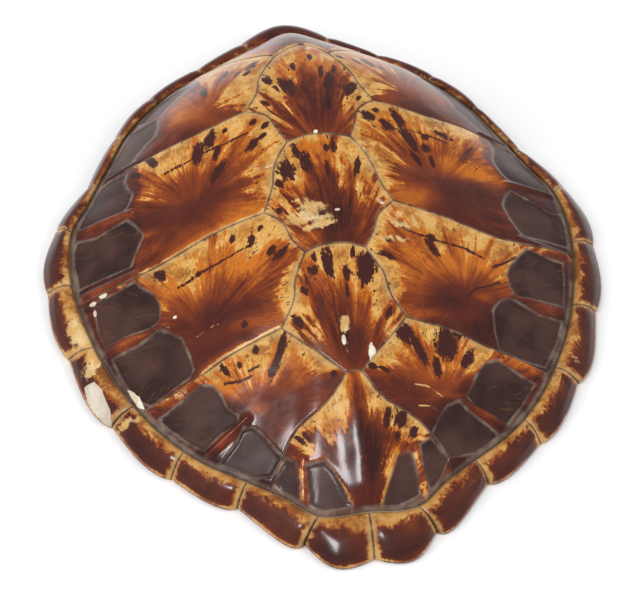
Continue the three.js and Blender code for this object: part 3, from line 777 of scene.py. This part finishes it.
def spacing(length, first_gap, last_gap, step=1.0):
    """Shares of a length, close together at both ends so that an edge can be rounded."""
    edge_steps, edge = np.array([0, 0.25, 0.55, 1.0, 1.6, 2.5]), 3.5
    first, last = first_gap, length - last_gap
    count = max(3, round((last - first - 2 * edge) / step))
    middle = np.linspace(first + edge, last - edge, count)
    return np.concatenate([first + edge_steps, middle, (last - edge_steps)[::-1]]) / length


def corners_of(mesh):
    places = np.zeros(len(mesh.vertices) * 3)
    mesh.vertices.foreach_get("co", places)
    return places.reshape(-1, 3)


def give_fields(mesh, fields):
    """Numbers at each corner of a mesh, for its finish to read."""
    for key, values in fields.items():
        vector = values.ndim == 2
        made = mesh.attributes.new(key, "FLOAT_VECTOR" if vector else "FLOAT", "POINT")
        made.data.foreach_set("vector" if vector else "value", values.astype(np.float32).ravel())


def horn_sheet(name, across, down, shape):
    """A sheet of horn from a flat grid. shape gives each corner's place in mm and its fields
    from its shares across and down the sheet."""
    piece = bmesh.new()
    columns, rows = len(across), len(down)
    bmesh.ops.create_grid(piece, x_segments=columns - 1, y_segments=rows - 1, size=0.5)
    mesh = bpy.data.meshes.new(name)
    piece.to_mesh(mesh)
    piece.free()
    flat = corners_of(mesh)
    u = across[np.rint((flat[:, 0] + 0.5) * (columns - 1)).astype(int)]
    v = down[np.rint((0.5 - flat[:, 1]) * (rows - 1)).astype(int)]
    place, fields = shape(u, v)
    mesh.vertices.foreach_set("co", (place * MM).astype(np.float32).ravel())
    give_fields(mesh, fields)
    mesh.update()
    return mesh


def finished(name, mesh, material, thickness=HORN):
    """A sheet given its thickness inwards and put in its node's place."""
    mesh.materials.append(material)
    mesh.shade_smooth()
    piece = bpy.data.objects.new(name + "_horn", mesh)
    scene.collection.objects.link(piece)
    wall = piece.modifiers.new("wall", "SOLIDIFY")
    wall.thickness = thickness * MM
    wall.offset = -1
    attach(piece, "root")
    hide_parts(name)


def waves(x, y):
    """The slow unevenness of a dried shell."""
    return (0.20 * np.sin(x / 9.7 + y / 23.1 + 1.3) * np.sin(y / 13.3 - x / 31 + 0.4)
            + 0.12 * np.sin(x / 5.3 - y / 8.1) * np.sin(y / 6.1 + x / 11.7 + 2.2))


# A scute's distance from a seam and from the groove, in mm, and how deep in a window a
# place lies that is far from all of them.
SEAM, AT_GROOVE, NO_WINDOW = 0.08, 0.5, -30.0
# How far its face lies lower: near a seam and right at it, over a window, at the groove,
# under a flaked place and in a pit.
SOFT_FALL, SEAM_CUT, WINDOW_SINK = 0.35, 0.55, 1.3
GROOVE_FALL, FLAKE_DEPTH, PIT_DEPTH = 1.5, 0.35, 1.2


def scute_at(p, seams, gaps, both_sides):
    """What lies near each place of a scute. In mm: away from its four seams, edge from the
    nearest one with a neighbour, rim from the groove, window into a window, and ridge, the
    height of the rib ends. Those of the other side count only with both_sides."""
    x, y = p.T
    away = [distance_to(p, line) for line in seams]
    rim = groove_radius(angle_of(x, y)) - np.hypot(x, y - DOME_CENTRE_Y)
    window = np.full(len(p), NO_WINDOW)
    for outline in WINDOWS["left"] + WINDOWS["right"]:
        if abs(np.mean(outline, axis=0)[0] - x.mean()) < WINDOW_RANGE:
            window = np.maximum(window, depth_inside(p, outline))
    ridge = np.zeros(len(p))
    for start, end, height in RIBS:
        if both_sides or start[0] * x.mean() > 0:
            ridge = np.maximum(ridge, height * beside(p, [(start, end)], RIB_END_WIDTH))
    return SimpleNamespace(
        away=away, edge=np.min([d for d, gap in zip(away, gaps) if gap == SEAM], axis=0),
        rim=rim, window=np.minimum(window, rim - 2.2), ridge=ridge,
    )


def horn_height(p, at, chip, pit):
    """The outer face. It falls at the seams and the groove, sinks over the windows, rises
    over the ribs, and is hollow under chips and pits."""
    z = dome_height(*p.T) + waves(*p.T) + at.ridge * smoothly(at.rim, 1, 5)
    z -= SOFT_FALL * near(at.edge, 5) + SEAM_CUT * near(np.min(at.away, axis=0), 0.7)
    z -= WINDOW_SINK * smoothly(at.window, -0.8, 2.0) + GROOVE_FALL * near(at.rim, 3)
    return z - FLAKE_DEPTH * np.clip(chip, 0, 1) - PIT_DEPTH * pit


def growth(p, look, seams, at, seed):
    """Fields of a scute's rays, and of the amber that lies along its seams. Beside the
    windows the horn is brown."""
    off = p - np.array(look["heart"], float)
    reach = np.hypot(*off.T)
    turn = np.arctan2(off[:, 1], off[:, 0])
    forward = middle_of(seams[0]) - middle_of(seams[1])
    toward = (off @ forward) / np.hypot(*forward) / np.maximum(reach, 1)
    fan = smoothly(toward, -0.1, 0.75)
    inland = 1 - smoothly(at.window, -10, -4) * smoothly(-at.rim, -44, -36)
    ends = look.get("bands_end", 0.72)
    fade = 1.6 * smoothly(at.away[0] / (at.away[0] + at.away[1]), ends, ends + 0.3)
    amber = np.full(len(p), -2.5)
    for d, width, less in zip(at.away, look["bands"], (0, 0, fade, fade)):
        if width:
            amber = np.maximum(amber, 1 - d / width - less)
    amber -= 1.6 * (1 - inland) + 1.5 * smoothly(-at.rim, -12, -6)
    if "golden" in look:
        amber = np.maximum(amber, 1.3 * beside(p, look["golden"], 1.8) - 1.05)
    amber -= 2.2 * beside(p, look.get("plain", []), 4.5)
    # The orange along the rib ends, outside the windows, is a painted highlight on their ridges.
    warm = spots(p, look.get("glows", [])) + at.ridge * 0.16 * smoothly(-at.window, -1, 2)
    return {
        "rays": np.stack([np.cos(turn) * 7 + seed * 7.3, np.sin(turn) * 7, reach * 0.022], -1),
        "reach": reach, "amber": amber, "trail": fan * smoothly(reach, 10, 26) * inland,
        "ragged": (0.35 + 0.65 * fan) * look.get("streaky", 1),
        "warm": warm + 0.8 * smoothly(-at.away[0], -52, -14) * inland - 0.17,
    }


def flaked_and_glints(p, look):
    """Above 0.5 where horn has flaked off, and at painted highlights."""
    cover = spots(p, [(*chip, 1.3) for chip in look.get("chips_and_glints", [])])
    for outline in look.get("bare", []):
        cover = np.maximum(cover, 0.5 + depth_inside(p, outline) * 0.6)
    return cover


def dome_scute(name, seams, gaps, seed):
    """A scute inside four seams: front and rear from left to right, left and right from
    front to rear. gaps are its distances from them, in that order. seed makes its rays
    unlike its neighbours'."""
    look = LOOK[name]
    front, rear, left, right = seams

    def shape(u, v):
        p = inside_lines(*seams, u, v)
        at = scute_at(p, seams, gaps, name == "vertebral_5")
        chip, pit = flaked_and_glints(p, look), spots(p, [(*c, 1) for c in look.get("pits", [])])
        lines_shown = 0.75 * beside(p, look.get("lines", []), 0.9)
        return np.stack([*p.T, horn_height(p, at, chip, pit)], -1), {
            **growth(p, look, seams, at, seed), "edge": at.edge, "window": at.window,
            "dark": np.maximum(ray_marks(p, look["blotches"], look["heart"]), lines_shown),
            "dust": 0.75 * near(at.window - 0.2, 1.1) + 1.2 * near(at.rim, 3.2) + 0.5 * pit,
            "pale": (spots(p, look.get("pale", []))
                     + 0.7 * beside(p, look.get("scratches", []), 0.5)),
            "chip": chip,
        }

    # The sheet's own size sets how many corners it gets.
    front_steps = at_shares(front, np.linspace(0, 1, 50))
    wide = max(np.linalg.norm(np.diff(front_steps, axis=0), axis=1).sum(),
               np.linalg.norm(left[len(left) // 2] - right[len(right) // 2]))
    long = max(np.linalg.norm(middle_of(front) - middle_of(rear)),
               np.linalg.norm(left[0] - left[-1]), np.linalg.norm(right[0] - right[-1]))
    across, down = spacing(wide, *gaps[2:]), spacing(long, *gaps[:2])
    finished(name, horn_sheet(name, across, down, shape), scute_horn)


ENDS_AT_GROOVE = ("v1c1", "v5c4", "c1c2", "c2c3", "c3c4")
middle_seams = {key: smooth_line(points) for key, points in SEAMS["across"].items()}
side_seams = {}
for side, sign in (("left", -1), ("right", 1)):
    for key, points in SEAMS[side].items():
        line = smooth_line(points, sign)
        side_seams[side, key] = to_groove(line) if key in ENDS_AT_GROOVE else line

# Front, rear and side seams of the middle row, then of the side rows. None is the groove.
vertebrals = [
    (None, "v1v2", ["v1c1"]), ("v1v2", "v2v3", ["v2c1", "v2c2"]),
    ("v2v3", "v3v4", ["v3c2", "v3c3"]), ("v3v4", "v4v5", ["v4c3", "v4c4"]),
    ("v4v5", None, ["v5c4"]),
]
for number, (front, rear, keys) in enumerate(vertebrals, 1):
    left, right = (joined(*(side_seams[s, key] for key in keys)) for s in ("left", "right"))
    if front is None:
        left, right = left[::-1], right[::-1]
    front_line = middle_seams[front] if front else groove_line(left[0], right[0])
    rear_line = middle_seams[rear] if rear else groove_line(left[-1], right[-1])
    gaps = (SEAM if front else AT_GROOVE, SEAM if rear else AT_GROOVE, SEAM, SEAM)
    dome_scute(f"vertebral_{number}", (front_line, rear_line, left, right), gaps, number)

costals = [
    ("v1c1", "c1c2", ["v2c1"]), ("c1c2", "c2c3", ["v2c2", "v3c2"]),
    ("c2c3", "c3c4", ["v3c3", "v4c3"]), ("c3c4", "v5c4", ["v4c4"]),
]
for side in ("left", "right"):
    for number, (front, rear, keys) in enumerate(costals, 1):
        inner = joined(*(side_seams[side, key] for key in keys))
        front_line, rear_line = side_seams[side, front], side_seams[side, rear]
        outer = groove_line(front_line[-1], rear_line[-1])
        if side == "right":
            seams, gaps = (front_line, rear_line, inner, outer), (SEAM, SEAM, SEAM, AT_GROOVE)
        else:
            seams = (front_line[::-1], rear_line[::-1], outer, inner)
            gaps = (SEAM, SEAM, AT_GROOVE, SEAM)
        seed = number + (6 if side == "right" else 11)
        dome_scute(f"costal_{number}_{side}", seams, gaps, seed)


# ---- Horn scutes of the rim ---------------------------------------------------------
# 25 thicker plates of the same horn, folded over the edge of the bone: 12 on each side and
# the nuchal scute over the neck. Each is dark with a ragged amber border along the groove
# and its seams, and its outer edge bulges to a notch at the next seam.

# The seams from the tail to the head, on the right: where each crosses the groove, its notch
# in the rim, how far the outer edge bulges up to the next notch, and which way that leans.
MARGINAL_SEAMS = [
    ((0, -187), (0, -214.5), 12, 0.95), ((31, -186.5), (41.5, -199.5), 6.5, 0.45),
    ((72, -157), (79.5, -168.5), 5, 0.6), ((109, -131), (118, -143), 5.2, 0.7),
    ((138, -95), (151, -100), 6, 0.65), ((158, -46), (173.5, -46), 4.5, 0.8),
    ((167, 5), (182.5, 8), 5, 0.8), ((162, 48), (172.5, 58.5), 2, 0.8),
    ((143, 84), (149, 91.5), 1.5, 1), ((120, 124), (127, 131.5), 2.5, 1),
    ((95, 153), (100.5, 162.5), 2, 1), ((60, 176), (64, 185), 0.5, 1),
    ((27, 193), (31, 205), 14.5, 1),
]
# From the groove over the top, round the outer edge and back under: share of the way to
# the rim, height, and how much of the front's lift each point takes.
RIM_SECTION = [
    (0.0, 12.4, 0), (0.07, 13.9, 0.05), (0.25, 13.7, 0.2), (0.55, 11.6, 0.5),
    (0.88, 6.4, 1), (1.0, 3.5, 1), (0.9, 0, 1), (0.3, 0, 1),
]
# Steps along that fold, those up to its outer edge, and the share of it that is on top.
FOLD_STEPS, OUTWARD_STEPS, UPPER_FACE = 70, 50, 0.62
# Thickness, distance from the groove and from a seam, how far the middle swells up, and how
# deep the cut at a seam is.
RIM_HORN, FROM_GROOVE, FROM_SEAM, SWELL, RIM_CUT = 1.7, 0.35, 0.06, 0.9, 0.5

# browner: less amber. golden: more of it, and pale: worn places, both as glows above. bare:
# outlines of flaked places.
RIM_WEAR = {
    "nuchal": {"browner": 0.9},
    "marginal_1_left": {"browner": 0.8}, "marginal_1_right": {"browner": 0.8},
    "marginal_2_left": {"browner": 0.7}, "marginal_2_right": {"browner": 0.7},
    "marginal_3_left": {"browner": 0.5}, "marginal_3_right": {"browner": 0.6},
    "marginal_4_left": {"browner": 0.5}, "marginal_4_right": {"browner": 0.5},
    "marginal_5_left": {"browner": 0.45}, "marginal_5_right": {"browner": 0.5},
    "marginal_6_left": {"browner": 0.3, "pale": [(-170, 8, 6, 5, 0.5)]},
    "marginal_6_right": {"browner": 0.3}, "marginal_7_right": {"browner": 0.2},
    "marginal_7_left": {
        "browner": -0.35,
        "pale": [(-164, -38, 8, 7, 0.9), (-168, -26, 4, 7, 0.8), (-170, -2, 6, 4, 0.35)],
    },
    "marginal_8_left": {
        "browner": -0.35,
        "pale": [(-156, -56, 5, 9, 0.9), (-163, -64, 5, 8, 0.5), (-148, -72, 2, 6, 0.6)],
        "bare": [[(-166, -71), (-159, -71), (-155, -78), (-153.5, -85), (-151, -93),
                  (-151, -102), (-156, -98), (-162, -88), (-165, -80)]],
    },
    "marginal_8_right": {"pale": [(150, -88, 6, 3, 0.4)]},
    "marginal_9_left": {"pale": [(-140, -104, 8, 3, 0.6)]},
    "marginal_11_right": {"browner": 0.2},
    "supracaudal_left": {"golden": [(-6, -194, 5, 9, 0.9)]},
    "supracaudal_right": {"browner": 0.12, "golden": [(9, -194, 8, 6, 0.9)]},
}

rim_horn = horn_finish(
    "rim_horn",
    [tint(40, 15, 15), tint(60, 23, 17), tint(86, 36, 19), tint(142, 72, 26)],
    [tint(150, 92, 38), tint(184, 130, 62), tint(192, 154, 98), tint(108, 58, 26)],
    [tint(186, 172, 152), tint(208, 198, 182)],
)


def head_lift(rim):
    """How far the rim stands off the table towards the head end."""
    return 4 * smoothly(rim[:, 1], 100, 205)


def marginal_scute(name, seams, bulge, skew, seed):
    """One rim scute between two seams. Each seam is where it crosses the groove and where
    it ends in a notch of the rim. The scute runs from the first seam to the second."""
    (groove_a, notch_a), (groove_b, notch_b) = seams
    start, end = angle_of(*groove_a), angle_of(*groove_b)
    end += round((start - end) / (2 * math.pi)) * 2 * math.pi
    chord = notch_b - notch_a
    long = np.linalg.norm(chord)
    out = np.array([chord[1], -chord[0]]) / long
    wear = RIM_WEAR.get(name, {})
    profile = through(RIM_SECTION, FOLD_STEPS)
    wide = np.linalg.norm((groove_a + groove_b - notch_a - notch_b) / 2)
    steps = np.diff(profile[:, :2], axis=0) * (wide, 1)
    arc = np.concatenate([[0], np.cumsum(np.hypot(*steps.T))])
    outermost = np.interp(1.0, profile[:OUTWARD_STEPS, 0], arc[:OUTWARD_STEPS])

    def shape(u, v):
        swing = bulge * np.sin(math.pi * u ** skew)
        rim = notch_a + chord * u[:, None] + out * swing[:, None]
        inner = point_at(start + (end - start) * u, 1)
        outward = (rim - inner) / np.linalg.norm(rim - inner, axis=1)[:, None]
        inner += outward * FROM_GROOVE
        down = v * arc[-1]
        share, height, part = (np.interp(down, arc, profile[:, k]) for k in range(3))
        p = inner + (rim - inner) * share[:, None]
        seam = np.minimum(u, 1 - u) * long
        over = down < arc[-1] * UPPER_FACE
        to_edge = np.abs(down - outermost)
        swell = SWELL * smoothly(seam, 0, 7) * smoothly(down, 0, 5) * smoothly(to_edge, 0, 6)
        dip = RIM_CUT * near(seam, 0.7)
        z = np.maximum(height, 0) + head_lift(rim) * part + (swell + waves(*p.T) - dip) * over
        p -= outward * (dip * smoothly(share, 0.7, 1))[:, None]
        # The rays spread from near the first notch.
        off = p - (notch_a * 0.75 + notch_b * 0.25 + out * 2 * np.sign(bulge))
        reach, turn = np.hypot(*off.T), np.arctan2(off[:, 1], off[:, 0])
        amber = np.maximum(0.95 - down / 6.5, 0.8 - seam / 4)
        amber = np.maximum(amber, 0.5 - to_edge / 1.5) - wear.get("browner", 0)
        amber += spots(p, wear.get("golden", []))
        nothing = np.zeros(len(u))
        return np.stack([*p.T, z], -1), {
            "rays": np.stack([np.cos(turn) * 6 + seed * 5.1, np.sin(turn) * 6, reach * 0.05], -1),
            "reach": reach, "edge": seam,
            "amber": np.where(over, amber, np.maximum(amber, -0.4)),
            "dark": nothing, "trail": nothing, "warm": nothing - 0.1,
            "ragged": nothing + 0.42, "window": nothing + NO_WINDOW,
            "dust": 0.9 * near(down, 1.6),
            "pale": spots(p, wear.get("pale", [])) * over, "chip": flaked_and_glints(p, wear) * over,
        }

    along, section = spacing(long, FROM_SEAM, FROM_SEAM), spacing(arc[-1], 0, 0, 0.9)
    mesh = horn_sheet(name, along, section, shape)
    # A face of the upper side, a few rows from the groove, has to look up.
    if mesh.polygons[-len(along) * 12].normal.z < 0:
        mesh.flip_normals()
    finished(name, mesh, rim_horn, RIM_HORN)


for side, sign in (("left", -1), ("right", 1)):
    ends = [
        (point_at(angle_of(g[0] * sign, g[1]), 1), np.array([n[0] * sign, n[1]], float))
        for g, n, _, _ in MARGINAL_SEAMS
    ]
    for k, (_, _, bulge, skew) in enumerate(MARGINAL_SEAMS[:-1]):
        name = f"marginal_{12 - k}_{side}" if k else f"supracaudal_{side}"
        marginal_scute(name, ends[k:k + 2], bulge * sign, skew, k + 20 + 13 * (sign > 0))
right_end = [np.array(p, float) for p in MARGINAL_SEAMS[-1][:2]]
left_end = [p * (-1, 1) for p in right_end]
marginal_scute("nuchal", [right_end, left_end], *MARGINAL_SEAMS[-1][2:], 50)


# ---- Bone ---------------------------------------------------------------------------
# One plate of dry, porous bone: the ribs, grown wide until they met, with the backbone
# under the middle. The ribs' ends cross to the rim and leave a window between each two.
# The horn grew on it and holds by itself.

SKIN = 2.5
PLATE = 4
RIB_WIDTH, RIB_HEIGHT = 4.5, 2.6
SAME_PLACE = 0.00002

bone_finish = Finish("bone", Roughness=0.65, IOR=1.5)
place = bone_finish.add("ShaderNodeTexCoord", {}, {}, 3)
pores = bone_finish.noise(place, 900, 3, 0.7)
grain = bone_finish.noise(place, 240, 3, 0.6)
stain = bone_finish.noise(place, 32, 3, 0.55)
suture = bone_finish.field("suture") + (grain - 0.5) * 3 + (pores - 0.5) * 2
colour = bone_finish.layered(
    tint(206, 184, 142), (stain.rise(0.3, 0.7), tint(226, 212, 178)),
    ((grain + (stain - 0.5)).rise(0.5, 0.8) * 0.5, tint(176, 142, 94)),
    (pores.rise(0.62, 0.74) * 0.5, tint(120, 92, 62)),
    (suture.rise(2.6, 0.4) * 0.4, tint(112, 84, 56)),
    (bone_finish.field("stained").rise(0, 1) * 0.6, tint(128, 86, 48)),
)
bone_finish.feed(bone_finish.surface, {
    "Base Color": colour,
    "Roughness": 0.58 + (grain - 0.5) * 0.3,
    "Normal": bone_finish.add("ShaderNodeBump", {}, {
        "Strength": 0.6, "Distance": 0.0008,
        "Height": grain * 0.5 - pores.rise(0.6, 0.75) * 0.35 - suture.rise(2.6, 0.4) * 0.3,
    }),
})

notches = np.array([n for _, n, _, _ in MARGINAL_SEAMS] + [(-31, 205)], float)
notch_turns = np.unwrap(angle_of(*notches.T))

# The middle line of each rib of the right side, from the backbone outwards.
RIB_AXES = [
    ((5, 112), (98, 112)), ((5, 84), (122, 82)), ((5, 50), (124, 42)), ((5, 12), (125, -5)),
    ((5, -28), (111, -50)), ((5, -60), (92, -90)), ((5, -88), (67, -121)), ((5, -116), (36, -150)),
]


def bone_section(turn):
    """Points of the plate's section on each spoke, from under the middle out and back over."""
    spoke = np.abs(np.where(turn > math.pi, turn - 2 * math.pi, turn))
    rim = np.stack([np.interp(spoke, notch_turns, notches[:, k]) for k in (0, 1)], -1)
    rim[:, 0] *= np.where(turn > math.pi, -1, 1)
    inner = point_at(turn, 1)
    lift = head_lift(rim)
    skin = SKIN + lift * 0.325

    def plate(share, drop):
        p = point_at(turn, share)
        return np.stack([*p.T, dome_height(*p.T) - skin - drop], -1)

    def ledge(share, z):
        return np.stack([*(inner + (rim - inner) * share).T, z], -1)

    low = 2.8 + lift
    out = (0, 0.12, 0.25, 0.37, 0.5, 0.6, 0.7, 0.85, 0.95)
    return np.stack([
        *(plate(share, PLATE) for share in out),
        ledge(-0.12, low + 1 - lift * 0.5), ledge(0.2, low), ledge(0.74, low),
        ledge(0.79, low + 0.9), ledge(0.45, low + 4.0 - lift * 0.5), ledge(0.03, 13.6 - skin),
        *(plate(share, 0) for share in out[::-1]),
    ])


def pulled_onto(places, line, within):
    """The places, with those closer to a line than within moved to its nearest point."""
    best, moved = np.full(len(places), float(within)), places.copy()
    for a, b in zip(line[:-1], line[1:]):
        at = a + share_along(places, a, b) * (b - a)
        far = np.linalg.norm(places - at, axis=1)
        closer = far < best
        best[closer], moved[closer] = far[closer], at[closer]
    return moved


# The plate's two faces are the first and the last rows of one long strip round the section.
SPOKES, STEPS, PLATE_STEPS = 360, 184, 64
turns = np.linspace(0, 2 * math.pi, SPOKES + 1)
turns[-1] = 0
stations = bone_section(turns)
curve = through(stations.reshape(len(stations), -1), STEPS).reshape(STEPS + 1, SPOKES + 1, 3)
# The ribs stand up on the underside only.
under = smoothly(-np.linspace(0, 1, STEPS + 1), -0.42, -0.30)[:, None]
flat_places = curve[..., :2].reshape(-1, 2)
ridges = np.zeros(len(flat_places))
for sign in (-1, 1):
    ribs = np.array(RIB_AXES, float) * (sign, 1)
    ridges = np.maximum(ridges, beside(flat_places, ribs, RIB_WIDTH))
curve[..., 2] -= ridges.reshape(curve.shape[:2]) * RIB_HEIGHT * under

# The bone's windows are a little smaller than the horn's, and end short of the groove.
# Corners near an outline are moved onto it. The cells inside it are left open in both faces.
WINDOW_SIZE, WINDOW_REACH, SNAP = 0.93, 0.945, 2.2
plate_places = curve[:PLATE_STEPS + 1, :, :2].reshape(-1, 2).copy()
open_cells = np.zeros((PLATE_STEPS, SPOKES), bool)
for outline in WINDOWS["left"] + WINDOWS["right"]:
    ring = through(np.array([*outline, outline[0]], float), 60)[:-1]
    reach = np.hypot(ring[:, 0], ring[:, 1] - DOME_CENTRE_Y)
    share = np.minimum(1, WINDOW_REACH * groove_radius(angle_of(*ring.T)) / reach)[:, None]
    ring = (ring - (0, DOME_CENTRE_Y)) * share + (0, DOME_CENTRE_Y)
    ring = ring.mean(axis=0) + (ring - ring.mean(axis=0)) * WINDOW_SIZE
    plate_places = pulled_onto(plate_places, np.concatenate([ring, ring[:1]]), SNAP)
    corners = plate_places.reshape(PLATE_STEPS + 1, -1, 2)
    centres = (corners[:-1, :-1] + corners[1:, :-1] + corners[:-1, 1:] + corners[1:, 1:]) / 4
    open_cells |= (depth_inside(centres.reshape(-1, 2), ring) > 0).reshape(open_cells.shape)
shift = plate_places.reshape(PLATE_STEPS + 1, -1, 2) - curve[:PLATE_STEPS + 1, :, :2]
for rows in (curve[:PLATE_STEPS + 1], curve[::-1][:PLATE_STEPS + 1]):
    height = dome_height(rows[..., 0], rows[..., 1])
    rows[..., :2] += shift
    rows[..., 2] += dome_height(rows[..., 0], rows[..., 1]) - height

whole = bmesh.new()
bmesh.ops.create_grid(whole, x_segments=SPOKES, y_segments=STEPS, size=0.5)
left_open = []
for face in whole.faces:
    middle = face.calc_center_median()
    i, j = int((middle.x + 0.5) * SPOKES), int((middle.y + 0.5) * STEPS)
    j = min(j, STEPS - 1 - j)
    if j < PLATE_STEPS and open_cells[j, i]:
        left_open.append(face)
corner = {}
for vertex in whole.verts:
    i, j = round((vertex.co.x + 0.5) * SPOKES), round((vertex.co.y + 0.5) * STEPS)
    corner[j, i] = vertex
    vertex.co = Vector(curve[j, i]) * MM
bmesh.ops.delete(whole, geom=left_open, context="FACES")

# A wall joins the two faces round each window.
for j, i in zip(*np.nonzero(open_cells)):
    sides = {
        (j - 1, i): ((j, i), (j, i + 1)), (j + 1, i): ((j + 1, i), (j + 1, i + 1)),
        (j, i - 1): ((j, i), (j + 1, i)), (j, i + 1): ((j, i + 1), (j + 1, i + 1)),
    }
    for beyond, (a, b) in sides.items():
        if beyond[0] == PLATE_STEPS or not open_cells[beyond]:
            opposite = corner[STEPS - b[0], b[1]], corner[STEPS - a[0], a[1]]
            whole.faces.new((corner[a], corner[b], *opposite))
bmesh.ops.remove_doubles(whole, verts=whole.verts, dist=SAME_PLACE)
bmesh.ops.recalc_face_normals(whole, faces=whole.faces)

# The backbone: a chain of waisted vertebrae, each flared where it meets the next.
SPINE_TAIL, SPINE_HEAD, VERTEBRA = -142, 152, 34
SPINE_WIDTH, SPINE_DEPTH = 6.6, 4.6
beam = bmesh.new()
bmesh.ops.create_grid(beam, x_segments=32, y_segments=168, size=0.5)
for vertex in beam.verts:
    turn, along = (vertex.co.x + 0.5) * 2 * math.pi, vertex.co.y + 0.5
    y = SPINE_TAIL + (SPINE_HEAD - SPINE_TAIL) * along
    flare = 0.80 + 0.24 * abs(math.cos((y + 12) / VERTEBRA * math.pi)) ** 3
    end = min(1.0, max(0.0, min(along, 1 - along) * 26)) ** 0.5
    top = float(dome_height(np.array([0.0]), np.array([y]))[0]) - SKIN - PLATE - 2.6
    thick = flare * end
    vertex.co = Vector((
        SPINE_WIDTH * thick * math.cos(turn), y, top + SPINE_DEPTH * thick * math.sin(turn),
    )) * MM
bmesh.ops.remove_doubles(beam, verts=beam.verts, dist=SAME_PLACE)
bmesh.ops.recalc_face_normals(beam, faces=beam.faces)
beam_mesh = bpy.data.meshes.new("backbone")
beam.to_mesh(beam_mesh)
beam.free()
whole.from_mesh(beam_mesh)
bone_mesh = bpy.data.meshes.new("carapace_bone")
whole.to_mesh(bone_mesh)
whole.free()
bone_mesh.materials.append(bone_finish.material)
bone_mesh.shade_smooth()
bone_mesh.set_sharp_from_angle(angle=math.radians(48))
plate_bone = bpy.data.objects.new("carapace_bone", bone_mesh)
scene.collection.objects.link(plate_bone)

# Wavy sutures where neighbouring ribs met, and bone darker brown towards the rim.
spots_at = corners_of(bone_mesh)[:, :2] / MM
joint = np.full(len(spots_at), 30.0)
for sign in (-1, 1):
    for (a, b), (c, d) in zip(RIB_AXES[:-1], RIB_AXES[1:]):
        between = through(np.array([
            ((a[0] + c[0]) / 2 * sign, (a[1] + c[1]) / 2),
            ((a[0] + c[0] + b[0] + d[0]) / 4 * sign, (a[1] + c[1] + b[1] + d[1]) / 4 + 1.5),
            ((b[0] + d[0]) / 2 * 1.1 * sign, (b[1] + d[1]) / 2 * 1.02),
        ]), 24)
        between[:, 1] += np.resize([0.9, -0.9], len(between))
        joint = np.minimum(joint, distance_to(spots_at, between))
from_middle = np.hypot(spots_at[:, 0], (spots_at[:, 1] - DOME_CENTRE_Y) / 1.25)
give_fields(bone_mesh, {"suture": joint, "stained": 0.9 * smoothly(from_middle, 120, 175)})
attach(plate_bone, "root")
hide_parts("bone_carapace")
